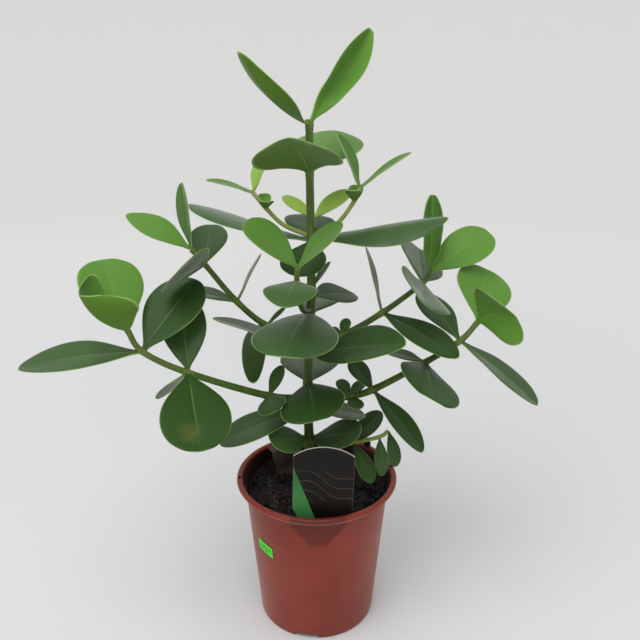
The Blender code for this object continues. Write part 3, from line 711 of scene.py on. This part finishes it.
def half_width(along, blunt):
    """Half a leaf's width, as a share of the half at its widest, at a share of its length."""
    widest, inner, outer = tip_shape(blunt)
    if along <= STALK_SHARE:
        return NECK_SHARE
    if along <= widest:
        opening = (along - STALK_SHARE) / (widest - STALK_SHARE)
        return NECK_SHARE + (1 - NECK_SHARE) * sin(0.5 * pi * opening)
    closing = (along - widest) / (1 - widest)
    return max(1 - closing**inner, 0) ** (1 / outer)


def edge_end(blunt):
    """The share of a leaf's length where its edges meet the last row, which spans TIP_SHARE of the width."""
    widest, inner, outer = tip_shape(blunt)
    return widest + (1 - widest) * (1 - TIP_SHARE**outer) ** (1 / inner)


def leaf_point(leaf, foot, along, across, waves):
    """A point of the leaf's middle surface, along from 0 to 1 and across from -1 to 1."""
    edge_along = along * edge_end(leaf.blunt)
    place = along + (edge_along - along) * across**2
    half = 0.5 * leaf.width * MM * half_width(edge_along, leaf.blunt)
    heading, rise = radians(leaf.heading), radians(leaf.rise)
    roll = radians(leaf.roll + leaf.twist * place)
    start = Vector((cos(heading) * cos(rise), sin(heading) * cos(rise), sin(rise)))
    level = Vector((sin(heading), -cos(heading), 0))
    up = level.cross(start)
    turn = radians(leaf.bend) * place
    reach = leaf.length * MM * place
    chord = reach if abs(turn) < LEAST_TURN else 2 * reach / turn * sin(0.5 * turn)
    middle = foot + chord * (cos(0.5 * turn) * start - sin(0.5 * turn) * up)
    onward = cos(turn) * start - sin(turn) * up
    side = cos(roll) * level + sin(roll) * up
    face = side.cross(onward).normalized()
    lift = radians(leaf.fold) * (0.5 + 0.5 * abs(across)) * min(place / FOLD_START, 1)
    point = middle + half * across * cos(lift) * side + half * abs(across) * sin(lift) * face
    return point + waves(along, across) * face


def leaf_waves(leaf, draw):
    """The height of a leaf's gentle waves and of the groove along its midrib, at a place on it."""
    leaves = bpy.context.scene.clusia_leaves
    size = min(leaf.width / FULL_WAVES, 1)
    phases = [draw.uniform(0, 2 * pi) for _ in range(3)]
    counts = [draw.uniform(0.7, 1.5) for _ in range(2)]

    def height(along, across):
        sides = sin(2 * pi * counts[0] * along + phases[0 if across > 0 else 1])
        whole = sin(2 * pi * counts[1] * along + phases[2])
        groove = max(1 - abs(across) / GROOVE_WIDTH, 0) * sin(pi * min(along * 1.2, 1)) ** 0.5
        ripple = leaves.ripple * (1.1 * sides * across**2 + 0.5 * whole * (1 - across**2) - 0.9 * across**6)
        return size * (ripple * min(along / 0.3, 1) - leaves.groove * groove)

    return height


def leaf_age_and_light(name, title):
    """A leaf's age with its painted light and shade, by its name with its shoot's or else by its own."""
    names = (f"{name}_{title}", title)
    return next((value for full in names for start, value in AGES_AND_PAINTED_LIGHT.items() if full.startswith(start)), 0.0)


def set_attribute(mesh, name, values):
    """A value for each point of the mesh, which its materials read."""
    mesh.attributes.new(name, "FLOAT", "POINT").data.foreach_set("value", values)


def make_leaf(name, leaf, foot, skins, age_and_light):
    """A leaf from a grid: bent to its shape, thickened from a blade to a stalk and rounded."""
    leaves = bpy.context.scene.clusia_leaves
    draw = random.Random(name)
    columns, rows = SMALL_GRID if leaf.length <= SMALL_LEAF else LARGE_GRID
    blade = added(bpy.ops.mesh.primitive_grid_add, x_subdivisions=columns, y_subdivisions=rows, size=1)
    mesh = blade.data
    waves = leaf_waves(leaf, draw)
    spread = []
    weights = []
    for vert in mesh.vertices:
        along, share = vert.co.y + 0.5, 2 * vert.co.x
        across = copysign(abs(share) ** MIDRIB_POWER, share)
        spread.append((0.5 + 0.5 * across, along))
        weights.append(max(1 - 3 * along, 0.25 * (1 - abs(across)) * (1 - along), 0))
        vert.co = leaf_point(leaf, foot, along, across, waves)
    uv = mesh.uv_layers.active
    uv.name = "UVMap"
    for loop in mesh.loops:
        uv.data[loop.index].uv = spread[loop.vertex_index]
    stalk = blade.vertex_groups.new(name="stalk")
    for index, weight in enumerate(weights):
        stalk.add([index], weight, "REPLACE")
    for skin in skins:
        mesh.materials.append(skin)
    thin = leaves.blade / leaves.stalk
    wall = {"thickness": leaves.stalk, "vertex_group": stalk.name, "thickness_vertex_group": thin}
    apply_modifier(blade, "SOLIDIFY", offset=0, material_offset=1, material_offset_rim=2, **wall)
    apply_modifier(blade, "SUBSURF", levels=1, render_levels=1)
    blade.vertex_groups.clear()
    count = len(mesh.vertices)
    set_attribute(mesh, "age_and_light", [age_and_light] * count)
    set_attribute(mesh, "tint", [draw.uniform(-TINT, TINT)] * count)
    bpy.ops.object.shade_smooth()
    return blade


def make_stem(shoot, bark):
    """A shoot's round stem, a little swollen at each pair of leaves and domed at its end."""
    points = [Vector(point) * MM for point in shoot.points]
    nodes = [points[number] for number in sorted({leaf.at for leaf in shoot.leaves.values()})]

    def nearness(place):
        return max(exp(-(((place - node).length / NODE_REACH) ** 2)) for node in nodes)

    way = route(points, RING_SPACING * MM)
    radii = []
    for k, place in enumerate(way):
        share = k / (len(way) - 1)
        slim = shoot.foot_radius + (shoot.tip_radius - shoot.foot_radius) * share
        radii.append(slim * (STEM_FULLNESS + NODE_SWELL * nearness(place)))
    stem = new_curve(bevel_depth=MM, bevel_resolution=(STEM_SIDES - 4) // 2, use_fill_caps=True)
    add_spline(stem, "POLY", way, radii)
    to_mesh(stem)
    apply_modifier(stem, "WELD", merge_threshold=MERGE)
    cap = {"limit_method": "ANGLE", "angle_limit": radians(60)}
    apply_modifier(stem, "BEVEL", width=STEM_DOME * shoot.tip_radius * MM, segments=3, **cap)
    mesh = stem.data
    mesh.materials.clear()
    mesh.materials.append(bark)
    set_attribute(mesh, "ring", [nearness(vert.co) for vert in mesh.vertices])
    least = 1 if shoot.tip_radius < SLIM_STEM else 0
    reach = (points[-1] - points[0]).length
    shares = [(vert.co - points[0]).length / reach for vert in mesh.vertices]
    set_attribute(mesh, "age_and_light", [max(least, TIP_YOUTH * share**2) for share in shares])
    bpy.ops.object.shade_smooth_by_angle(angle=radians(50))
    return stem


class ClusiaFoliage(bpy.types.Operator):
    """Grow every shoot of the plant, its stem with its leaves"""

    bl_idname = "clusia.foliage"
    bl_label = "Stems and leaves"

    def execute(self, context):
        leaves = context.scene.clusia_leaves
        edge = tuple(0.5 * (pale + dark) for pale, dark in zip(leaves.pale, leaves.mature))
        skins = (
            leaf_material("leaf_upper", leaves.mature, leaves.young, leaves, 0.42, 0.35, 0.03),
            leaf_material("leaf_under", leaves.under, leaves.under_young, leaves, 0.55, 0.5, 0.04),
            leaf_material("leaf_rim", edge, leaves.pale, leaves, 0.5, 0.0, 0.0),
        )
        bark = stem_material(leaves)
        for name, shoot in SHOOTS.items():
            pieces = [make_stem(shoot, bark)]
            for title, leaf in shoot.leaves.items():
                foot = Vector(shoot.points[leaf.at]) * MM
                pieces.append(make_leaf(f"{name}_{title}", leaf, foot, skins, leaf_age_and_light(name, title)))
            settle(join(pieces, f"{name}_foliage"), "leaf", name)
        return {"FINISHED"}


def turned(name, profile, steps, closed=True):
    """A shape turned about Z by extruding a disc along its profile of (radius, height)."""
    radius, height = profile[0]
    circle = bpy.ops.mesh.primitive_circle_add
    shape = added(circle, vertices=steps, radius=radius, location=(0, 0, height), fill_type="NOTHING")
    fix_place(shape)
    bpy.ops.object.mode_set(mode="EDIT")
    bpy.ops.mesh.select_all(action="SELECT")
    bpy.ops.mesh.edge_face_add()
    for (near, low), (far, high) in zip(profile, profile[1:]):
        bpy.ops.mesh.extrude_region()
        bpy.ops.transform.translate(value=(0, 0, high - low))
        bpy.ops.transform.resize(value=(far / near, far / near, 1), center_override=(0, 0, high))
    if closed:
        bpy.ops.mesh.select_all(action="SELECT")
        bpy.ops.mesh.normals_make_consistent(inside=False)
    else:
        bpy.ops.mesh.delete(type="ONLY_FACE")
    bpy.ops.object.mode_set(mode="OBJECT")
    return named(shape, name)


def arc(centre, radius, start, end, steps):
    """Points (r, z) on an arc, angles in degrees."""
    angles = (radians(start + (end - start) * k / steps) for k in range(steps + 1))
    return [(centre[0] + radius * cos(a), centre[1] + radius * sin(a)) for a in angles]


def wall_radius(z):
    """Outer radius of the pot's sloping wall at a height."""
    return FOOT_RADIUS + (SHOULDER_RADIUS - FOOT_RADIUS) * z / UNDER_RIM


def pot_profile():
    """The pot's section from the middle of its floor, over the rim and under the foot to the middle again."""
    lip_middle = POT_HEIGHT - LIP_RADIUS
    floor = BASE_RISE + WALL
    return [
        (HUB, WALL),
        (PAD_RADIUS - WALL, WALL),
        (PAD_RADIUS, floor),
        (wall_radius(BASE_RISE) - WALL - HEEL, floor),
        (wall_radius(BASE_RISE) - WALL, floor + HEEL),
        (SHOULDER_RADIUS - WALL, UNDER_RIM),
        *arc((RIM_RADIUS - RIM_WIDTH + LIP_RADIUS, lip_middle), LIP_RADIUS, 180, 90, 6),
        *arc((RIM_RADIUS - LIP_RADIUS, lip_middle), LIP_RADIUS, 90, LIP_END, 10),
        (SHOULDER_RADIUS, UNDER_RIM),
        *arc((wall_radius(HEEL) - HEEL, HEEL), HEEL, 0, -75, 6),
        (FOOT_RADIUS - 2 * WALL, 0),
        (FOOT_RADIUS - 2 * WALL, BASE_RISE),
        (PAD_RADIUS + WALL, BASE_RISE),
        (PAD_RADIUS, 0),
        (HUB, 0),
    ]


def pot_material(pot):
    """Moulded terracotta plastic: cloudy, scuffed, dusty at the foot, with painted shade where the tag lies
    behind, and soil stains with painted shade on the inner wall.
    """
    skin = Skin("pot_plastic", pot.plastic)
    x, y, z = skin.place.parts()
    low_half, high_half = (0.5 * width - SHADE_INSET for width in (TAG_NECK_WIDTH, TAG_WIDTH))
    shoulder = z.ramp(TAG_NECK_Z - 2 * MM, UNDER_RIM, low_half, high_half)
    inside = (abs(x - SHADE_X) - shoulder).ramp(-1 * MM, 2 * MM, 1, 0)
    level = z.ramp(TAG_NECK_Z - 2 * MM, TAG_NECK_Z + 2 * MM)
    cloud = skin.noise(14.0, 3.0)
    skin.paint(cloud.ramp(0.35, 0.65, 0, 0.3), pot.shade)
    # painted shade of the tag's shoulders behind the wall
    skin.paint(inside * level * y.ramp(-66 * MM, -60 * MM, 1, 0) * 0.85, pot.shade)
    scuffed = skin.noise(190.0, 3.0, stretch=(1, 1, 1.6)).ramp(0.72, 0.78, 0, 0.3)
    skin.paint(scuffed, SCUFFS)
    skin.paint(z.ramp(0.0, 14 * MM, 0.5, 0) * skin.noise(90.0, 4.0).ramp(0.5, 0.7), DUST)
    # Soil stains with painted shade on inward-facing surfaces, fading out towards the top of the lip
    normal = skin.read("ShaderNodeNewGeometry", output="Normal")
    outward = skin.read("ShaderNodeCombineXYZ", {0: x, 1: y})
    facing = skin.read("ShaderNodeVectorMath", {0: normal, 1: outward}, "Value", operation="DOT_PRODUCT")
    below = z.ramp(POT_HEIGHT - 5 * MM, POT_HEIGHT - 1 * MM, 1, 0)
    soiled_and_shaded = facing.ramp(-45 * MM, -20 * MM, 1, 0) * below * cloud.ramp(0.3, 0.6, 0.8, 1)
    skin.paint(soiled_and_shaded, pot.soiled_and_shaded)
    return skin.done(
        Normal=skin.relief(skin.noise(1400.0, 1.0) + scuffed, 0.05 * MM, 0.4),
        Roughness=cloud.ramp(0.3, 0.7, 0.4, 0.5),
        Specular_IOR_Level=0.32,
        Sheen_Weight=(soiled_and_shaded * -1.0 + 1.0) * 0.22,
        Sheen_Roughness=0.4,
        Sheen_Tint=(1, 0.66, 0.55, 1),
    )


class ClusiaPot(bpy.types.Operator):
    """Turn the pot, cut the drain notches in its foot and round its edges"""

    bl_idname = "clusia.pot"
    bl_label = "Pot"

    def execute(self, context):
        settings = context.scene.clusia_pot
        pot = turned("nursery_pot", pot_profile(), POT_STEPS)
        corners = {"limit_method": "ANGLE", "angle_limit": radians(40)}
        apply_modifier(pot, "BEVEL", width=settings.edge, segments=2, **corners)
        for k in range(NOTCHES):
            heading = radians(FIRST_NOTCH + 360 / NOTCHES * k)
            place = (FOOT_RADIUS * cos(heading), FOOT_RADIUS * sin(heading), 0)
            block = added(bpy.ops.mesh.primitive_cube_add, size=1, location=place, rotation=(0, 0, heading))
            block.scale = (NOTCH_DEPTH, NOTCH_WIDTH, 2 * NOTCH_HEIGHT)
            fix_place(block)
            apply_modifier(block, "BEVEL", width=1 * MM, segments=3)
            apply_modifier(pot, "BOOLEAN", operation="DIFFERENCE", object=block)
            bpy.data.objects.remove(block)
        pot.data.materials.append(pot_material(settings))
        select_only(pot)
        bpy.ops.object.shade_smooth_by_angle(angle=radians(35))
        settle(pot, "pot", "pot")
        return {"FINISHED"}


def soil_material(soil):
    """Moist dark soil with a few paler grains."""
    skin = Skin("soil_earth", darker(soil.earth, 0.45))
    skin.paint(skin.noise(260.0, 5.0).ramp(0.35, 0.75), soil.earth)
    skin.paint(skin.noise(700.0).ramp(0.7, 0.8, 0, 0.5), SOIL_GRAINS)
    lumps = skin.relief(skin.noise(520.0, 4.0), 1.2 * MM, 0.8)
    return skin.done(Normal=lumps, Roughness=0.85, Specular_IOR_Level=0.25)


def plain_material(name, tone, roughness, scale, depth):
    """A matt finish whose colour and surface vary at one scale."""
    skin = Skin(name, tone)
    pattern = skin.noise(scale, 3.0)
    skin.paint(pattern.ramp(0.3, 0.7, 0, 0.35), darker(tone))
    return skin.done(Normal=skin.relief(pattern, depth, 0.6), Roughness=roughness)


def make_soil_body(soil):
    """The soil, turned to fill the pot, with an uneven top."""
    edge = wall_radius(SOIL_TOP) - WALL - SOIL_CLEARANCE
    foot = wall_radius(BASE_RISE) - WALL - HEEL - SOIL_CLEARANCE
    floor = BASE_RISE + WALL + SOIL_CLEARANCE
    rings = round(edge / SOIL_RING)
    middle = 0.5 * HUB
    profile = [(middle, SOIL_TOP)]
    profile += [(edge * k / rings, SOIL_TOP) for k in range(1, rings + 1)]
    profile += [(foot + HEEL, floor + HEEL), (foot, floor), (middle, floor)]
    body = turned("soil_body", profile, SOIL_STEPS)
    top = body.vertex_groups.new(name="top")
    for vert in body.data.vertices:
        if vert.co.z > SOIL_TOP - MM:
            away = 1 - hypot(vert.co.x, vert.co.y) / edge
            top.add([vert.index], min(0.25 + 6 * away, 1), "REPLACE")
    lumps = {"direction": "Z", "texture_coords": "LOCAL", "mid_level": 0.5, "vertex_group": top.name}
    for scale, share in ((16 * MM, 0.55), (6 * MM, 0.45), (2.5 * MM, 0.2)):
        texture = bpy.data.textures.new("lumps", "CLOUDS")
        texture.noise_scale = scale
        apply_modifier(body, "DISPLACE", texture=texture, strength=share * soil.relief, **lumps)
    select_only(body)
    bpy.ops.object.shade_smooth()
    return body


def on_soil(body, x, y):
    """The point of the soil's top under a place."""
    hit, point, _, _ = body.ray_cast(Vector((x, y, POT_HEIGHT)), Vector((0, 0, -1)))
    if not hit:
        raise RuntimeError("no soil under a crumb or fibre")
    return point


def somewhere(draw, low, high):
    """A place on the soil between two distances from the pot's axis, evenly spread."""
    radius = sqrt(draw.uniform(low**2, high**2))
    angle = draw.uniform(0, 2 * pi)
    return radius * cos(angle), radius * sin(angle)


def make_crumb(lump, place, size, draw):
    """An angular pebble of soil, a copy of the lump with a shape and turn of its own."""
    crumb = lump.copy()
    crumb.data = lump.data.copy()
    bpy.context.collection.objects.link(crumb)
    for vert in crumb.data.vertices:
        vert.co *= draw.uniform(0.72, 1.15)
    crumb.location = place + Vector((0, 0, 0.22 * size))
    crumb.rotation_euler = [draw.uniform(0, 2 * pi) for _ in range(3)]
    crumb.scale = [size * draw.uniform(0.6, 1.1) for _ in range(3)]
    return crumb


def make_crumbs(soil, body):
    """Loose crumbs and lumps on the soil, and a few on the rim."""
    draw = random.Random(soil.seed)
    lump = added(bpy.ops.mesh.primitive_ico_sphere_add, subdivisions=2, radius=0.5)
    crumbs = []
    for k in range(soil.crumbs):
        size = draw.uniform(*(CRUMB_SIZES if k % LUMP_EVERY else LUMP_SIZES)) * MM
        crumbs.append(make_crumb(lump, on_soil(body, *somewhere(draw, *CRUMB_BELT)), size, draw))
    middle = RIM_RADIUS - 0.5 * RIM_WIDTH
    for heading, size in RIM_CRUMBS.items():
        angle = radians(heading)
        place = Vector((middle * cos(angle), middle * sin(angle), POT_HEIGHT))
        crumbs.append(make_crumb(lump, place, size, draw))
    bpy.data.objects.remove(lump)
    crumbs = join(crumbs, "soil_crumbs")
    fix_place(crumbs)
    bpy.ops.object.shade_flat()
    return crumbs


def make_fibres(soil, body):
    """Pale root fibres lying on the soil, in loose curves."""
    draw = random.Random(soil.seed + 1)
    fibres = new_curve(bevel_depth=MM, bevel_resolution=0, resolution_u=3, use_fill_caps=True)
    for number in range(soil.fibres):
        x, y = somewhere(draw, *FIBRE_BELT)
        if number % 2:
            nest = FIBRE_NESTS[number // 2 % len(FIBRE_NESTS)]
            x, y = (draw.gauss(middle, FIBRE_SPREAD) for middle in nest)
        heading = draw.uniform(0, 2 * pi)
        count = draw.randint(4, 7)
        places = []
        for _ in range(count):
            lift = draw.uniform(0.6, 2.2) * MM
            places.append(on_soil(body, x, y) + Vector((0, 0, lift)))
            heading += draw.uniform(-0.7, 0.7)
            x += FIBRE_STEP * cos(heading)
            y += FIBRE_STEP * sin(heading)
        radii = [FIBRE_RADIUS * (1 - 0.5 * k / count) for k in range(count)]
        add_spline(fibres, "NURBS", places, radii).use_endpoint_u = True
    to_mesh(fibres)
    return named(fibres, "root_fibres")


def make_flake(place, turn, size, body):
    """A dry brown scrap of leaf, curled and leaning on the soil."""
    flake = added(bpy.ops.mesh.primitive_grid_add, x_subdivisions=6, y_subdivisions=8, size=1)
    long, wide = size
    for vert in flake.data.vertices:
        along, across = vert.co.y, vert.co.x
        narrow = 1 - 1.3 * abs(along) ** 1.6
        curl = 5 * MM * across**2 + 2 * MM * sin(9 * along)
        vert.co = (across * wide * narrow, along * long, curl)
    apply_modifier(flake, "SOLIDIFY", thickness=SCRAP_THICKNESS, offset=0)
    apply_modifier(flake, "SUBSURF", levels=1, render_levels=1)
    tilt, lean, heading = (radians(angle) for angle in turn)
    flake.rotation_euler = (tilt, lean, heading)
    flake.location = on_soil(body, *place) + Vector((0, 0, 0.32 * long * sin(tilt)))
    fix_place(flake)
    bpy.ops.object.shade_smooth()
    return flake


class ClusiaSoil(bpy.types.Operator):
    """Fill the pot with soil and scatter crumbs, root fibres and dry scraps on it"""

    bl_idname = "clusia.soil"
    bl_label = "Soil"

    def execute(self, context):
        soil = context.scene.clusia_soil
        earth = soil_material(soil)
        body = make_soil_body(soil)
        crumbs = make_crumbs(soil, body)
        fibres = make_fibres(soil, body)
        flakes = join([make_flake(*scrap, body) for scrap in SCRAPS], "dry_flakes")
        straw = plain_material("root_straw", soil.straw, 0.7, 300.0, 0.1 * MM)
        brown = plain_material("dry_leaf", soil.flake, 0.6, 120.0, 0.4 * MM)
        for piece, finish in ((body, earth), (crumbs, earth), (fibres, straw), (flakes, brown)):
            piece.data.materials.append(finish)
        settle(body, "soil", "soil")
        for piece in (crumbs, fibres, flakes):
            settle(piece, "soil")
        return {"FINISHED"}


def tag_outline():
    """The tag's outline (x, z): an arched head with rounded shoulders above a tapered stake."""
    half = 0.5 * TAG_WIDTH
    reach = degrees(asin(half / TAG_ARCH_RADIUS))
    arch = arc((0, TAG_ARCH_MIDDLE), TAG_ARCH_RADIUS, 90 - reach, 90 + reach, 28)
    right = [(0.5 * TAG_TIP_WIDTH, TAG_TIP_Z), (0.5 * TAG_NECK_WIDTH, TAG_NECK_Z), (half, TAG_SHOULDER_Z)]
    return right + arch + [(-x, z) for x, z in reversed(right)]


def tag_material(tag):
    """Dark satin plastic with a pale cut edge and border, a green corner and a few thin rippled lines."""
    skin = Skin("tag_plastic", tag.plastic)
    shoulder = TAG_PLACE + Vector((0, 0, TAG_SHOULDER_Z))
    x, _, z = skin.framed(shoulder, (0, radians(TAG_LEAN), 0)).parts()
    slope = z + ((x * 150.0).maths("SINE") * (3.5 * MM) + x * 0.45)
    line = slope.maths("PINGPONG", 5.5 * MM).ramp(0.12 * MM, 0.38 * MM, 1, 0)
    skin.paint(line * (z.ramp(6 * MM, 10 * MM) * z.ramp(41 * MM, 44 * MM, 1, 0)) * 0.5, tag.line)
    patch = skin.blend(z.ramp(5 * MM, 40 * MM, 0, 0.6), tag.patch, darker(tag.patch))
    skin.paint((x * 2.6 + (z + 30 * MM)).ramp(-0.6 * MM, 0.6 * MM, 1, 0), patch)
    above = z - (TAG_ARCH_MIDDLE - TAG_SHOULDER_Z)
    away = (x * x + above * above).maths("SQRT")
    top_border = away.ramp(TAG_ARCH_RADIUS - 0.8 * MM, TAG_ARCH_RADIUS - 0.5 * MM, 0, 0.7)
    half = 0.5 * TAG_WIDTH
    side_border = abs(x).ramp(half - 0.6 * MM, half - 0.3 * MM, 0, 0.1)
    skin.paint(top_border.maths("MAXIMUM", side_border), tag.edge)
    facing = skin.read("ShaderNodeNewGeometry", output="Normal").parts()[1]
    skin.paint(abs(facing).ramp(0.3, 0.8, 0.85, 0), tag.edge)
    rough = skin.noise(60.0, 3.0).ramp(0.3, 0.7, 0.42, 0.58)
    grain = skin.relief(skin.noise(500.0), 0.06 * MM, 0.5)
    return skin.done(Normal=grain, Roughness=rough, Specular_IOR_Level=0.2)


def label_material(tag):
    """Bright matt paper with a plain line and, under it, a row of plain short strokes."""
    skin = Skin("label_paper", tag.label)
    turn = (0, radians(LABEL_TILT), radians(LABEL_HEADING + 90))
    x, _, z = skin.framed((0, 0, LABEL_Z), turn).parts()
    line = abs(z - 1.2 * MM).ramp(0.6 * MM, 0.9 * MM, 1, 0)
    stroke = x.maths("PINGPONG", 0.9 * MM).ramp(0.4 * MM, 0.6 * MM, 1, 0)
    word = (x + 1.3 * MM).maths("PINGPONG", 3.4 * MM).ramp(0.5 * MM, 0.8 * MM)
    row = abs(z + 2.8 * MM).ramp(1.2 * MM, 1.5 * MM, 1, 0)
    inside = abs(x).ramp(8.4 * MM, 8.7 * MM, 0.95, 0)
    pattern = skin.noise(220.0, 3.0)
    skin.paint(pattern.ramp(0.3, 0.7, 0, 0.12), darker(tag.label))
    skin.paint(line.maths("MAXIMUM", stroke * word * row) * inside, tag.ink)
    return skin.done(Normal=skin.relief(pattern, 0.05 * MM, 0.6), Roughness=0.55)


class ClusiaTag(bpy.types.Operator):
    """Cut the plant tag from a flat outline and finish the label"""

    bl_idname = "clusia.tag"
    bl_label = "Plant tag and label"

    def execute(self, context):
        settings = context.scene.clusia_tag
        tag = new_curve(dimensions="2D", fill_mode="BOTH", extrude=0.5 * TAG_THICKNESS)
        outline = [(x, z, 0) for x, z in tag_outline()]
        add_spline(tag, "POLY", outline, [1] * len(outline)).use_cyclic_u = True
        to_mesh(tag)
        pivot = Matrix.Translation((0, 0, TAG_SHOULDER_Z))
        lean = pivot @ Matrix.Rotation(radians(TAG_LEAN), 4, "Y") @ pivot.inverted()
        tag.matrix_world = Matrix.Translation(TAG_PLACE) @ lean @ Matrix.Rotation(radians(90), 4, "X")
        fix_place(tag)
        apply_modifier(tag, "WELD", merge_threshold=MERGE)
        tag.data.materials.append(tag_material(settings))
        settle(named(tag, "plant_tag"), "tag", "tag")
        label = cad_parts["label"]
        label.data.materials.clear()
        label.data.materials.append(label_material(settings))
        return {"FINISHED"}


def area_light(name, power, place, size):
    """A large soft round light at a place, aimed at the plant."""
    light = added(bpy.ops.object.light_add, type="AREA", location=place)
    light.name = name
    light.data.energy = power
    light.data.shape = "DISK"
    light.data.size = size
    light.rotation_euler = (Vector(LIT_PLACE) - Vector(place)).to_track_quat("-Z", "Y").to_euler()


def floor_material(stage):
    """Matt studio paint with painted shade: darker near the plant, where the key light falls strongest, and
    paler far away.
    """
    skin = Skin("studio_paint", stage.floor)
    away = skin.read("ShaderNodeVectorMath", {0: skin.place}, "Value", operation="LENGTH")
    skin.paint(away.ramp(0.4, 2.0), stage.backdrop)
    return skin.done(Roughness=0.8)


class ClusiaStage(bpy.types.Operator):
    """Set out the floor, the lights and the camera"""

    bl_idname = "clusia.stage"
    bl_label = "Stage"

    def execute(self, context):
        stage = context.scene.clusia_stage
        radius, bend = stage.floor_radius, 0.5 * stage.wall_height
        sweep = [(10 * MM, 0), (radius, 0), *arc((radius, bend), bend, -75, 0, 10), (radius + bend, 2 * bend)]
        floor = turned("studio_floor", sweep, FLOOR_STEPS, closed=False)
        bpy.ops.object.shade_smooth()
        floor.data.materials.append(floor_material(stage))
        area_light("key_light", stage.key, (-0.5, -0.9, 2.1), 1.6)
        area_light("fill_light", stage.fill, (0.6, -2.0, 0.9), 1.2)
        world = bpy.data.worlds.new("even_light")
        world.use_nodes = True
        sky = world.node_tree.nodes["Background"]
        sky.inputs["Color"].default_value = (1, 1, 1, 1)
        sky.inputs["Strength"].default_value = stage.sky
        context.scene.world = world
        context.scene.view_settings.view_transform = "Standard"
        bpy.ops.object.camera_add(location=stage.eye, rotation=(0.5 * pi - stage.pitch, 0, 0))
        camera = bpy.context.object
        camera.name = "photo_camera"
        camera.data.lens = stage.lens
        camera.data.sensor_width = 36
        camera.data.clip_start = 10 * MM
        context.scene.camera = camera
        return {"FINISHED"}


class CLUSIA_PT_panel(bpy.types.Panel):
    """Lists the steps that build the potted clusia"""

    bl_label = "Potted clusia"
    bl_space_type = "VIEW_3D"
    bl_region_type = "UI"
    bl_category = "Clusia"

    def draw(self, context):
        for step in STEPS:
            self.layout.operator(step.bl_idname)


GROUPS = {
    "clusia_leaves": ClusiaLeafSettings,
    "clusia_pot": ClusiaPotSettings,
    "clusia_soil": ClusiaSoilSettings,
    "clusia_tag": ClusiaTagSettings,
    "clusia_stage": ClusiaStageSettings,
}
STEPS = (ClusiaStage, ClusiaPot, ClusiaSoil, ClusiaTag, ClusiaFoliage)
CLASSES = (*GROUPS.values(), *STEPS, CLUSIA_PT_panel)


def register():
    for kind in CLASSES:
        bpy.utils.register_class(kind)
    for name, kind in GROUPS.items():
        setattr(bpy.types.Scene, name, PointerProperty(type=kind))


def unregister():
    for name in GROUPS:
        delattr(bpy.types.Scene, name)
    for kind in reversed(CLASSES):
        bpy.utils.unregister_class(kind)


def main():
    """Register the add-on and run its steps in order."""
    register()
    bpy.ops.clusia.stage()
    bpy.ops.clusia.pot()
    bpy.ops.clusia.soil()
    bpy.ops.clusia.tag()
    bpy.ops.clusia.foliage()


if __name__ == "__main__":
    main()
